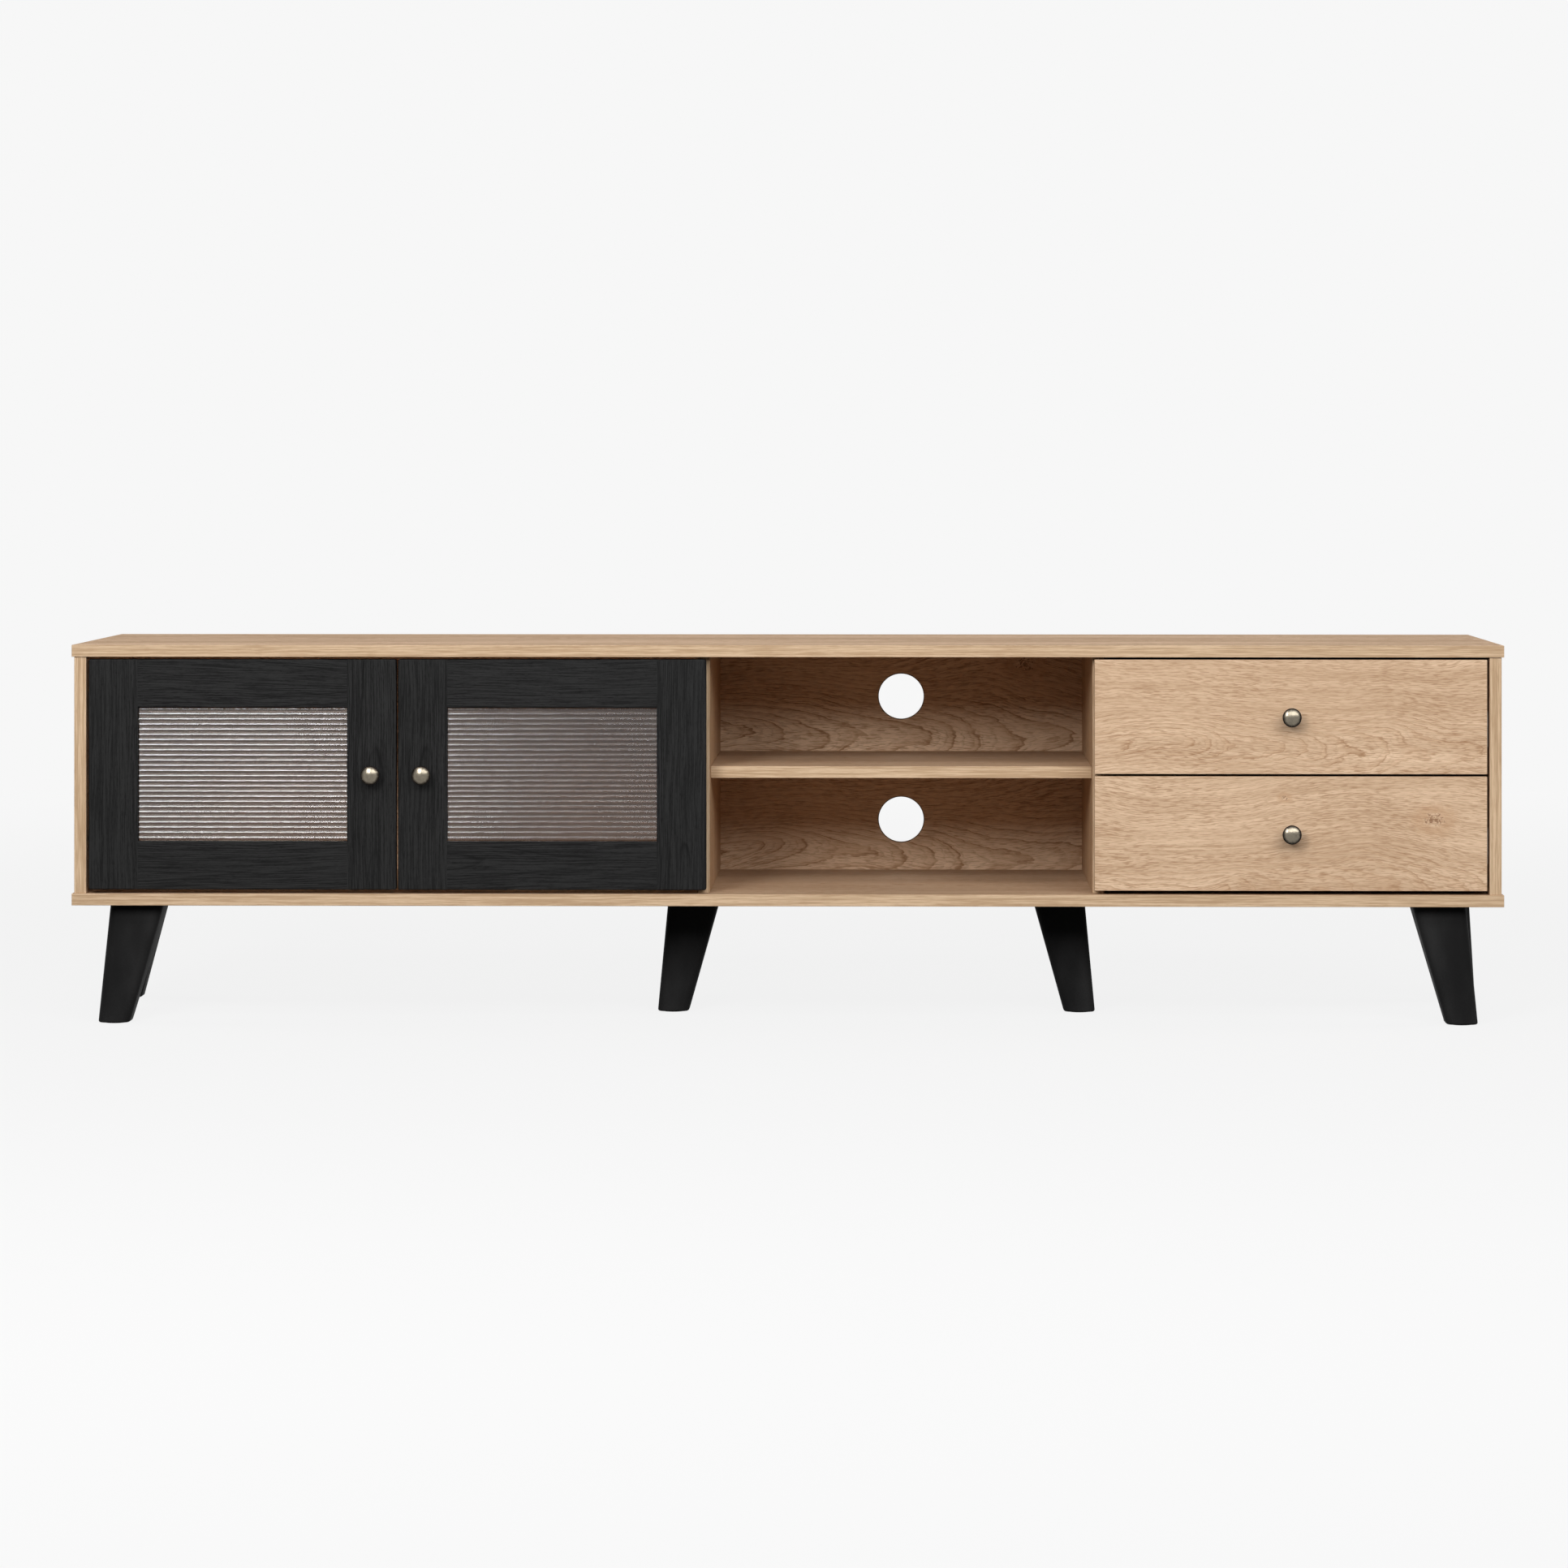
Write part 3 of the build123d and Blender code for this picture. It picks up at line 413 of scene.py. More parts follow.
class Finish:
    """A surface finish that makes its own material."""

    def start(self, name: str) -> tuple[Material, Graph, Node, Any]:
        """Starts a material.

        Args:
            name: the material's name.

        Returns:
            The material, its graph, its shader and its texture coordinates.
        """
        material = bpy.data.materials.new(name)
        material.use_nodes = True
        material.node_tree.nodes.clear()
        graph = Graph(material.node_tree)
        shader = graph.node("ShaderNodeBsdfPrincipled")
        output = graph.node("ShaderNodeOutputMaterial")
        graph.feed(output.inputs["Surface"], shader.outputs[0])
        return material, graph, shader, graph.node("ShaderNodeTexCoord").outputs


class WoodFinish(Finish):
    """A finish with growth rings, which are placed as the ring group says."""

    heart: float
    depth: float
    tilt: float
    spacing: float
    waver: float

    def rings(self, graph: Graph, place: Socket, **more: Feed) -> Any:
        """The outputs of the ring group at a place, with more of its inputs by name."""
        named = {"Heart": self.heart, "Depth": self.depth, "Tilt": self.tilt, "Spacing": self.spacing}
        return graph.group(ring_group(), Position=place, Waver=self.waver, **named, **more)


# How far a normal points along the grain, through the board or backwards, where the band turns to an end's
# grain, a face to an edge, and a board to its rear.
END_STEP = (0.5, 0.8)
EDGE_STEP = (0.45, 0.75)
REAR_STEP = (0.6, 0.85)


@dataclass(frozen=True)
class OakBoard(WoodFinish):
    """Oak print on a board, with a streaked band on its edges and bare core on its rear edge.

    The figure is placed from the middle of the board: heart is across the grain, depth is how far the
    heart lies below the face, tilt is how fast that changes along the grain.
    """

    grain: Axis = Axis.X
    thickness: Axis = Axis.Z
    heart: float = 0.0
    depth: float = 0.04
    tilt: float = 0.16
    spacing: float = 0.0075
    repeat: float = 0.3
    figure: float = 0.85
    blush: float = 0.28
    speckle: float = 0.62
    waver: float = 1.0
    seed: float = 0.0
    knots: tuple[tuple[float, float, float], ...] = ()
    holes: tuple[tuple[float, float, float], ...] = ()
    bare_rear_edge: bool = True
    bare_rear_face: bool = False
    light: Colour = (0.772, 0.567, 0.392)
    dark: Colour = (0.545, 0.373, 0.240)
    warm: Colour = (0.520, 0.318, 0.185)
    line: Colour = (0.330, 0.183, 0.095)
    knot: Colour = (0.195, 0.082, 0.036)
    band_light: Colour = (0.640, 0.465, 0.305)
    band_dark: Colour = (0.465, 0.315, 0.190)
    core_light: Colour = (0.56, 0.40, 0.24)
    core_dark: Colour = (0.24, 0.145, 0.075)
    # The next two fields paint a dark ring round each cable hole: painted shade of the hole's wall.
    cut: Colour = (0.055, 0.034, 0.020)
    hole_shade_width: float = 1.2 * MM
    board_chips: float = 420.0
    panel_fibres: float = 900.0
    roughness: float = 0.78
    polish: float = 0.12
    gloss: float = 0.08
    pore_depth: float = 0.08 * MM
    knot_halo: float = 0.5
    knot_core: float = 0.7
    band_ticks: float = 0.22

    @property
    def order(self) -> tuple[int, int, int]:
        """The indices of the grain, across and thickness axes."""
        across = ({0, 1, 2} - {self.grain.value, self.thickness.value}).pop()
        return self.grain.value, across, self.thickness.value

    def place(self, graph: Graph, coords: Any, centre: Sequence[float]) -> Socket:
        """A point of the board as (along the grain, across it, through it), from the board's middle.

        Args:
            graph: the material's graph.
            coords: its texture coordinates.
            centre: the board's middle.

        Returns:
            The point.
        """
        away = graph.split(graph.vector("SUBTRACT", coords["Object"], tuple(centre)))
        along, across, through = (away[index] for index in self.order)
        return graph.join(along, across, graph.plus(through, self.seed))

    def face(self, graph: Graph, place: Socket) -> tuple[Socket, Socket]:
        """The oak print of a broad face.

        Args:
            graph: the material's graph.
            place: the point of the board.

        Returns:
            The colour and the relief.
        """
        bend = 0.0
        knots = []
        for along, across, size in self.knots:
            centre = (along, across, 0.0)
            knot = graph.group(knot_group(), Position=place, Centre=centre, Size=size)
            bend = graph.plus(bend, knot["Bend"])
            knots.append(knot)
        rings = self.rings(graph, place, Repeat=self.repeat, Bend=bend)
        along, _, through = graph.split(place)
        fibre = graph.group(fibre_group(), Position=graph.join(along, rings["Flow"], through))
        cloud = graph.ramp(graph.noise(place, (2.2, 13.0, 13.0), 2.0), *MIDDLE)
        colour = graph.mix(graph.blend(0.5, fibre["Streak"], cloud), self.light, self.dark)
        strength = graph.linear(rings["Near"], 0.55, 0.45)
        colour = graph.mix(graph.times(strength, self.blush, rings["Shade"]), colour, self.warm)
        colour = graph.mix(graph.times(fibre["Dash"], self.speckle), colour, self.line)
        broken = graph.linear(fibre["Dash"], 0.45, 0.55)
        line = graph.times(strength, self.figure, rings["Line"], broken)
        colour = graph.mix(line, colour, self.line)
        for knot in knots:
            colour = graph.mix(graph.times(knot["Halo"], self.knot_halo), colour, self.warm)
            colour = graph.mix(graph.times(knot["Core"], self.knot_core), colour, self.knot)
        level = graph.vector("MULTIPLY", place, (1.0, 1.0, 0.0))
        # Each cable hole gets a painted shade ring round it, standing in for its wall's shadow.
        for along, across, radius in self.holes:
            away = graph.length(graph.vector("SUBTRACT", level, (along, across, 0.0)))
            rim = graph.ramp(away, radius + self.hole_shade_width / 2, radius + self.hole_shade_width, 1.0, 0.0)
            colour = graph.mix(rim, colour, self.cut)
        dips = graph.math("MAXIMUM", line, fibre["Dash"])
        return colour, graph.math("SUBTRACT", 1.0, dips)

    def band(self, graph: Graph, place: Socket) -> Socket:
        """The straight streaks of an edge band.

        Args:
            graph: the material's graph.
            place: the point of the board.

        Returns:
            The colour.
        """
        broad = graph.noise(place, (5.0, 420.0, 420.0), 2.0)
        fine = graph.noise(place, (22.0, 1000.0, 1000.0))
        ticks = graph.ramp(graph.noise(place, (70.0, 1100.0, 1100.0)), 0.5, 0.66)
        streak = graph.ramp(graph.blend(0.55, broad, fine), 0.42, 0.58)
        colour = graph.mix(streak, self.band_light, self.band_dark)
        return graph.mix(graph.times(ticks, self.band_ticks), colour, self.line)

    def core(self, graph: Graph, coords: Any, grain: float) -> Socket:
        """Bare pressed wood."""
        pressed = graph.group(pressed_group(), Position=coords["Object"], Grain=grain)
        return graph.mix(pressed["Tone"], self.core_dark, self.core_light)

    def material(self, node: str) -> Material:
        """Makes the finish for one board.

        Args:
            node: the board's CAD node, whose middle centres the figure.

        Returns:
            The material.
        """
        low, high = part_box(node)
        material, graph, shader, coords = self.start(f"oak_{node}")
        place = self.place(graph, coords, (low + high) / 2)
        colour, height = self.face(graph, place)
        normal = graph.split(coords["Normal"])
        flat = [graph.math("ABSOLUTE", normal[index]) for index in self.order]
        along, across, through = graph.split(place)
        end = graph.ramp(flat[0], *END_STEP)
        turned = graph.mix(end, place, graph.join(across, along, through), Mixed.PLACE)
        edge = graph.ramp(flat[2], *EDGE_STEP, 1.0, 0.0)
        colour = graph.mix(edge, colour, self.band(graph, turned))
        rearward = graph.ramp(normal[Axis.Y.value], *REAR_STEP)
        if self.bare_rear_face:
            bare = graph.math("MAXIMUM", rearward, edge)
            colour = graph.mix(bare, colour, self.core(graph, coords, self.panel_fibres))
        elif self.bare_rear_edge and self.thickness is not Axis.Y:
            colour = graph.mix(rearward, colour, self.core(graph, coords, self.board_chips))
        rough = graph.linear(height, -self.polish, self.roughness)
        normal = graph.bump(height, self.pore_depth, 0.5)
        graph.fill(shader.inputs, Base_Color=colour, Roughness=rough, Normal=normal)
        graph.fill(shader.inputs, Specular_IOR_Level=self.gloss)
        return material


@dataclass(frozen=True)
class BlackWoodgrain(WoodFinish):
    """Black laminate with embossed grain along one axis."""

    grain: Axis = Axis.Z
    heart: float = 0.004
    depth: float = 0.03
    tilt: float = 0.05
    spacing: float = 0.0065
    waver: float = 0.3
    low: Colour = (0.0016, 0.0016, 0.0016)
    high: Colour = (0.0150, 0.0150, 0.0150)
    roughness: float = 0.5
    groove_roughness: float = 0.18
    gloss: float = 0.1
    relief_depth: float = 0.2 * MM

    def material(self, node: str) -> Material:
        """Makes the finish for one member of a door frame.

        Args:
            node: the member's CAD node, whose middle centres the figure.

        Returns:
            The material.
        """
        low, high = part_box(node)
        material, graph, shader, coords = self.start(f"black_woodgrain_{node}")
        centre = (low + high) / 2
        away = graph.split(graph.vector("SUBTRACT", coords["Object"], tuple(centre)))
        across = away[2] if self.grain is Axis.X else away[0]
        along = away[self.grain.value]
        through = graph.plus(away[1], 5.0 * centre[0] + centre[2])
        place = graph.join(along, across, through)
        rings = self.rings(graph, place)
        flow = graph.join(along, rings["Flow"], through)
        fibre = graph.group(fibre_group(), Position=flow)
        threads = graph.ramp(graph.noise(flow, (16.0, 700.0, 700.0), 2.0), *MIDDLE)
        ticks = graph.ramp(graph.noise(flow, (130.0, 950.0, 950.0)), 0.5, 0.66)
        local = graph.ramp(graph.noise(place, (5.0, 9.0, 9.0)), 0.42, 0.58)
        groove = graph.math("MAXIMUM", graph.times(rings["Line"], local), graph.times(ticks, 0.6))
        relief = graph.linear(groove, -0.5, graph.blend(0.75, threads, fibre["Streak"]))
        colour = graph.mix(graph.ramp(relief, -0.2, 0.95), self.low, self.high)
        rough = graph.linear(groove, self.groove_roughness, self.roughness)
        normal = graph.bump(relief, self.relief_depth, 0.6)
        graph.fill(shader.inputs, Base_Color=colour, Roughness=rough, Normal=normal)
        graph.fill(shader.inputs, Specular_IOR_Level=self.gloss)
        return material


@dataclass(frozen=True)
class ReededGlass(Finish):
    """Clear pressed glass with a faint grey tint and tiny seeds in its face."""

    tint: Colour = (0.285, 0.240, 0.212)
    pass_through: Colour = (0.86, 0.83, 0.80)
    index: float = 1.56
    clearness: float = 0.98
    ripple: float = 0.16 * MM
    seed_waves: float = 420.0
    grain_waves: float = 900.0
    roughness: float = 0.02
    seed_roughness: float = 0.08

    def material(self) -> Material:
        """Makes the glass, which lets lamp light through into the bay.

        Returns:
            The material.
        """
        material, graph, shader, coords = self.start("reeded_glass")
        place = coords["Object"]
        seeds = graph.noise(place, [self.seed_waves] * 3, 3.0)
        speckle = graph.group(speckle_group(), Position=place, Grain=self.grain_waves)
        height = graph.blend(0.45, seeds, speckle["Height"])
        graph.fill(
            shader.inputs,
            Base_Color=self.tint,
            Roughness=graph.linear(seeds, self.seed_roughness, self.roughness),
            IOR=self.index,
            Transmission_Weight=self.clearness,
            Normal=graph.bump(height, self.ripple, 0.8),
        )
        clear = graph.result("ShaderNodeBsdfTransparent", (self.pass_through,))
        shadow = graph.node("ShaderNodeLightPath").outputs["Is Shadow Ray"]
        both = graph.result("ShaderNodeMixShader", (shadow, shader.outputs[0], clear))
        output = next(item for item in graph.tree.nodes if item.type == "OUTPUT_MATERIAL")
        graph.feed(output.inputs["Surface"], both)
        return material


@dataclass(frozen=True)
class AntiqueNickel(Finish):
    """Brushed nickel: patina in its hollows, and painted dark reflection on the rim and round the dome's
    edge.
    """

    bright: Colour = (0.215, 0.188, 0.145)
    # Patina in the hollows, and painted dark reflection on the rim and round the dome's edge.
    dark: Colour = (0.014, 0.011, 0.009)
    roughness: float = 0.28
    polish: float = 0.08
    line_depth: float = 0.03 * MM

    def material(self) -> Material:
        """Makes the metal; the knob's own attribute says how bright each ring of it is: rubbing and patina,
        with painted dark reflection on the rim and the dome's edge.

        Returns:
            The material.
        """
        material, graph, shader, coords = self.start("antique_nickel")
        rub_and_painted_dark = graph.node("ShaderNodeAttribute", attribute_name=KNOB_ATTRIBUTE)
        turning = graph.node("ShaderNodeUVMap", uv_map=KNOB_UV)
        lines = graph.centred(turning.outputs[0], (6.0, 260.0, 1.0), 2.0)
        stain = graph.centred(coords["Object"], (350.0, 350.0, 350.0), 3.0)
        # Rubbing and stains set the brightness; where the attribute is low on the rim and the dome's edge,
        # the darkness is painted dark reflection.
        wear_and_painted_dark = graph.linear(stain, 0.7, rub_and_painted_dark.outputs["Fac"])
        wear_and_painted_dark = graph.ramp(graph.linear(lines, 0.35, wear_and_painted_dark), 0.0, 1.0)
        graph.fill(
            shader.inputs,
            Base_Color=graph.mix(wear_and_painted_dark, self.dark, self.bright),
            Metallic=1.0,
            Roughness=graph.linear(wear_and_painted_dark, -self.polish, self.roughness),
            Normal=graph.bump(lines, self.line_depth, 0.4),
        )
        return material


@dataclass(frozen=True)
class MouldedPlastic(Finish):
    """Matt moulded plastic with a fine grain."""

    name: str
    low: Colour
    high: Colour
    roughness: float = 0.5
    spread: float = 0.14
    gloss: float = 0.02
    grain_waves: float = 1700.0
    grain_depth: float = 0.06 * MM

    def material(self) -> Material:
        """Makes the plastic.

        Returns:
            The material.
        """
        material, graph, shader, coords = self.start(self.name)
        speckle = graph.group(speckle_group(), Position=coords["Object"], Grain=self.grain_waves)
        graph.fill(
            shader.inputs,
            Base_Color=graph.mix(speckle["Tone"], self.low, self.high),
            Roughness=graph.linear(speckle["Tone"], self.spread, self.roughness - self.spread / 2),
            Specular_IOR_Level=self.gloss,
            Normal=graph.bump(speckle["Height"], self.grain_depth, 0.5),
        )
        return material


@dataclass(frozen=True)
class ZincSteel(Finish):
    """Rolled and zinc-plated steel: fine lines along one axis, with cloudy plating."""

    name: str
    along: Axis
    low: Colour = (0.36, 0.36, 0.35)
    high: Colour = (0.62, 0.62, 0.60)
    across_waves: float = 2400.0
    along_waves: float = 25.0
    cloud_waves: float = 120.0
    roughness: float = 0.42
    polish: float = 0.14
    line_depth: float = 0.02 * MM

    def material(self) -> Material:
        """Makes the steel.

        Returns:
            The material.
        """
        material, graph, shader, coords = self.start(self.name)
        waves = [self.across_waves] * 3
        waves[self.along.value] = self.along_waves
        lines = graph.noise(coords["Object"], waves)
        cloud = graph.noise(coords["Object"], [self.cloud_waves] * 3, 3.0)
        tone = graph.ramp(graph.blend(0.4, lines, cloud), 0.35, 0.65)
        graph.fill(
            shader.inputs,
            Base_Color=graph.mix(tone, self.low, self.high),
            Metallic=1.0,
            Roughness=graph.linear(tone, -self.polish, self.roughness),
            Normal=graph.bump(lines, self.line_depth, 0.4),
        )
        return material


@dataclass(frozen=True)
class PlainBeech(Finish):
    """Beech rod, with short flecks along the grain."""

    light: Colour = (0.66, 0.48, 0.31)
    dark: Colour = (0.50, 0.33, 0.19)

    def material(self) -> Material:
        """Makes the beech.

        Returns:
            The material.
        """
        material, graph, shader, coords = self.start("beech_dowel")
        fibre = graph.group(fibre_group(), Position=coords["Object"])
        tone = graph.math("MAXIMUM", fibre["Streak"], fibre["Dash"])
        colour = graph.mix(tone, self.light, self.dark)
        graph.fill(shader.inputs, Base_Color=colour, Roughness=graph.linear(tone, 0.1, 0.6))
        return material


# Mesh building


SMOOTH_ANGLE = math.radians(32)


def ring_faces(rows: int, columns: int) -> np.ndarray:
    """Four-sided faces of a tube of points.

    Face (i, j) joins rows i and i + 1 between columns j and j + 1, and the last column meets the first.

    Args:
        rows: rings of points along the tube.
        columns: points in each ring.

    Returns:
        Vertex numbers, one row of four for each face.
    """
    row, column = np.meshgrid(np.arange(rows - 1), np.arange(columns), indexing="ij")
    after = (column + 1) % columns
    corners = (row * columns + column, row * columns + after)
    upper = (corners[1] + columns, corners[0] + columns)
    return np.stack((*corners, *upper), axis=-1).reshape(-1, 4)


def fan_faces(ring: np.ndarray, pole: int) -> np.ndarray:
    """Triangles from a ring of vertex numbers to one pole, as rows of three vertex numbers."""
    return np.stack((ring, np.roll(ring, -1), np.full_like(ring, pole)), axis=-1)


def new_piece(name: str, points: np.ndarray, faces: Sequence[np.ndarray]) -> Object:
    """Puts worked-out points and faces into a new object at the origin.

    Args:
        name: the piece's name.
        points: one row of x, y, z for each vertex.
        faces: arrays of vertex numbers, facing outwards.

    Returns:
        The object, smooth but for its sharp edges.
    """
    mesh = bpy.data.meshes.new(name)
    listed = [face for group in faces for face in group.tolist()]
    mesh.from_pydata(points.tolist(), [], listed)
    mesh.shade_smooth()
    mesh.set_sharp_from_angle(angle=SMOOTH_ANGLE)
    mesh.validate()
    piece = bpy.data.objects.new(name, mesh)
    bpy.context.scene.collection.objects.link(piece)
    return piece


def capped_tube(name: str, rings: np.ndarray, poles: np.ndarray) -> Object:
    """Closes a tube of rings with a fan of triangles at each end.

    Args:
        name: the piece's name.
        rings: points by ring, by place in the ring and by axis.
        poles: the middle points of the first and the last ring.

    Returns:
        The closed piece.
    """
    rows, columns = rings.shape[:2]
    count = rows * columns
    first, last = np.arange(columns), np.arange(columns) + count - columns
    faces = (ring_faces(rows, columns), fan_faces(first[::-1], count), fan_faces(last, count + 1))
    return new_piece(name, np.concatenate((rings.reshape(-1, 3), poles)), faces)


def arc(centre: Sequence[float], radii: Sequence[float], start: float, end: float, steps: int) -> np.ndarray:
    """Points on an ellipse's arc: centre plus radii times (cosine, sine) of an even run of degrees."""
    angle = np.radians(np.linspace(start, end, steps))
    return np.asarray(centre) + np.asarray(radii) * np.stack((np.cos(angle), np.sin(angle)), axis=-1)


def stand_for(piece: Object, node: str, body: str, finish: Material) -> None:
    """Lets a new piece stand for a CAD node.

    Args:
        piece: the new piece.
        node: the node that it replaces.
        body: the body that it moves with.
        finish: its material.
    """
    piece.data.materials.append(finish)
    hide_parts(node)
    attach(piece, body)
    LOG.info("%s: %d faces, stands for %s", piece.name, len(piece.data.polygons), node)


def dress(node: str, finish: Material) -> None:
    """Gives a CAD node its material.

    Args:
        node: the node.
        finish: the material.
    """
    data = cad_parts[node].data
    data.materials.clear()
    data.materials.append(finish)
    LOG.info("%s: %s", node, finish.name)


# Sub-assemblies


@dataclass
class Pane:
    """A reeded pane: level half-round ribs on its front, a flat rear."""

    pitch: float = 6.5 * MM
    rib_height: float = 0.88 * MM
    steps_per_rib: int = 12
    stations: int = 40
    waver: float = 0.02 * MM
    waver_waves: tuple[float, float, float] = (95.0, 130.0, 40.0)

    def section(self, low: Vector, high: Vector) -> tuple[np.ndarray, np.ndarray]:
        """The front line of the pane, seen from its end.

        Each rib is a circle's arc over one pitch, rib_height tall: its depth behind the crest at a distance
        s from its middle is R minus the root of (R squared minus s squared), where R is (half pitch squared
        plus rib height squared) over twice the rib height.

        Args:
            low: lowest corner of the pane.
            high: highest corner of the pane.

        Returns:
            Heights, and depths behind the crests.
        """
        count = round((high.z - low.z) / self.pitch)
        pitch = (high.z - low.z) / count
        height = np.linspace(low.z, high.z, count * self.steps_per_rib + 1)
        radius = ((pitch / 2) ** 2 + self.rib_height**2) / (2 * self.rib_height)
        turn = np.linspace(0, count, len(height))
        away = (turn - np.floor(turn) - 0.5) * pitch
        return height, radius - np.sqrt(radius**2 - away**2)

    def build(self, node: str) -> Object:
        """Carries the section along the pane, with a slow waver of the rolled face.

        The front at (x, z) lies at the crest plane plus the section's depth plus waver times (one plus the
        product of two slow sines of x and z), so that the waver goes only inwards.

        Args:
            node: the CAD pane, which gives the box.

        Returns:
            The closed pane.
        """
        low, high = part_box(node)
        height, depth = self.section(low, high)
        x = np.linspace(low.x, high.x, self.stations)
        wide_waves, tall_waves, lean_waves = self.waver_waves
        sway = 1 + np.sin(wide_waves * x)[:, None] * np.sin(tall_waves * height + lean_waves * x[:, None])
        front_y = low.y + depth[None, :] + self.waver * sway
        wide, tall = np.meshgrid(x, height, indexing="ij")
        front = np.stack((wide, front_y, tall), axis=-1)
        rear = np.stack((wide, np.full_like(wide, high.y), tall), axis=-1)[:, ::-1]
        loop = np.concatenate((front, rear), axis=1)
        columns = loop.shape[1]
        sides = ring_faces(self.stations, columns)[:, ::-1]
        step = np.arange(len(height) - 1)
        cap = np.stack((step, step + 1, columns - 2 - step, columns - 1 - step), axis=-1)
        last = cap + (self.stations - 1) * columns
        return new_piece(f"{node}_reeded", loop.reshape(-1, 3), (sides, cap, last[:, ::-1]))


KNOB_ATTRIBUTE = "rub_and_painted_dark"
KNOB_UV = "turning"


@dataclass
class Knob:
    """A turned mushroom knob: flat foot, hollow neck, rounded rim and a domed face."""

    foot_radius: float = 8.0 * MM
    foot_height: float = 1.6 * MM
    foot_edge: float = 0.4 * MM
    neck_radius: float = 4.6 * MM
    hollow_height: float = 2.6 * MM
    flare_start: float = 8.5 * MM
    rim_round: float = 1.4 * MM
    dome_edge: float = 11.2 * MM
    dome_curve: float = 26.0 * MM
    reach: float = 24.0 * MM
    # The dome is bright in its middle where it is rubbed, and darkens towards its edge as painted dark
    # reflection.
    dome_rubbing_and_painted_dark: float = 0.8
    painted_dark_edge_share: float = 0.30
    map_length: float = 40.0 * MM
    segments: int = 72
    # Brightness of foot, shoulder, hollow, flare and rim: patina in the low values, painted dark reflection
    # in the rim's 0.
    rubs_and_painted_dark: tuple[float, ...] = (0.15, 0.15, 0.05, 0.1, 0.0)

    def profile(self) -> tuple[np.ndarray, np.ndarray]:
        """The outline from the foot to the top of the dome, as arcs of circles and ellipses.

        Returns:
            Rows of (radius, reach), and how far each point is rubbed bright, 0 to 1.
        """
        edge = (self.foot_edge, self.foot_edge)
        corner = self.foot_radius - self.foot_edge
        foot = arc((corner, self.foot_edge), edge, -90, 0, 5)
        shoulder = arc((corner, self.foot_height - self.foot_edge), edge, 0, 80, 5)
        hollow_size = (corner - self.neck_radius, self.hollow_height)
        hollow = arc((corner, self.foot_height + self.hollow_height), hollow_size, -95, -180, 9)
        lean = math.asin(self.dome_edge / self.dome_curve)
        dome_middle = self.reach - self.dome_curve
        rim_radius = self.dome_edge - self.rim_round * math.sin(lean)
        rim_reach = dome_middle + (self.dome_curve - self.rim_round) * math.cos(lean)
        flare_size = (rim_radius - self.neck_radius, rim_reach - self.rim_round - self.flare_start)
        flare = arc((rim_radius, self.flare_start), flare_size, 180, 92, 14)
        dome_start = 90 - math.degrees(lean)
        rim = arc((rim_radius, rim_reach), (self.rim_round, self.rim_round), -88, dome_start - 2, 16)
        dome = arc((0, dome_middle), (self.dome_curve, self.dome_curve), dome_start, 89.5, 28)
        parts = (foot, shoulder, hollow, flare, rim, dome)
        # The dome fades from rubbed bright in its middle to painted dark reflection at its edge.
        dome_rubbing_and_painted_dark = np.clip((1 - dome[:, 0] / self.dome_edge) / self.painted_dark_edge_share, 0, 1) * self.dome_rubbing_and_painted_dark
        rub_and_painted_dark = np.concatenate([np.full(len(part), rub) for part, rub in zip(parts, self.rubs_and_painted_dark)] + [dome_rubbing_and_painted_dark])
        return np.concatenate(parts), rub_and_painted_dark

    def build(self, node: str) -> Object:
        """Turns the profile about the knob's axis.

        The point at angle a is (radius times cosine a, minus reach, radius times sine a) from the middle of
        the foot.

        Args:
            node: the CAD knob, which gives the place.

        Returns:
            The closed knob, with its attribute and its turning map.
        """
        low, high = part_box(node)
        centre = np.array(((low.x + high.x) / 2, high.y, (low.z + high.z) / 2))
        outline, rub_and_painted_dark = self.profile()
        angle = np.linspace(0, 2 * np.pi, self.segments, endpoint=False)
        radius, reach = outline[:, :1], outline[:, 1:]
        rings = np.stack((radius * np.cos(angle), -reach + 0 * angle, radius * np.sin(angle)), axis=-1)
        poles = np.array(((0, 0, 0), (0, -self.reach, 0)))
        piece = capped_tube(f"{node}_turned", rings + centre, poles + centre)
        self.mark(piece, rub_and_painted_dark, outline)
        return piece

    def mark(self, piece: Object, rub_and_painted_dark: np.ndarray, outline: np.ndarray) -> None:
        """Stores how bright each ring is, with its painted dark reflection, and a map of (turn, length along
        the outline).

        Args:
            piece: the knob.
            rub_and_painted_dark: one value for each ring, with the painted dark reflection of the rim and the
                dome's edge.
            outline: rows of (radius, reach).
        """
        mesh = piece.data
        values = np.concatenate((np.repeat(rub_and_painted_dark, self.segments), (rub_and_painted_dark[0], rub_and_painted_dark[-1])))
        layer = mesh.attributes.new(KNOB_ATTRIBUTE, "FLOAT", "POINT")
        layer.data.foreach_set("value", values.astype(np.float32))
        steps = np.linalg.norm(np.diff(outline, axis=0), axis=1)
        run = np.concatenate(((0,), np.cumsum(steps))) / self.map_length
        along = np.concatenate((np.repeat(run, self.segments), (run[0], run[-1])))
        turn = np.concatenate((np.tile(np.arange(self.segments), len(run)) / self.segments, (0.5, 0.5)))
        corners = np.zeros(len(mesh.loops), np.int32)
        mesh.loops.foreach_get("vertex_index", corners)
        flat = np.stack((turn[corners], along[corners]), axis=-1)
        mesh.uv_layers.new(name=KNOB_UV).data.foreach_set("uv", flat.ravel())


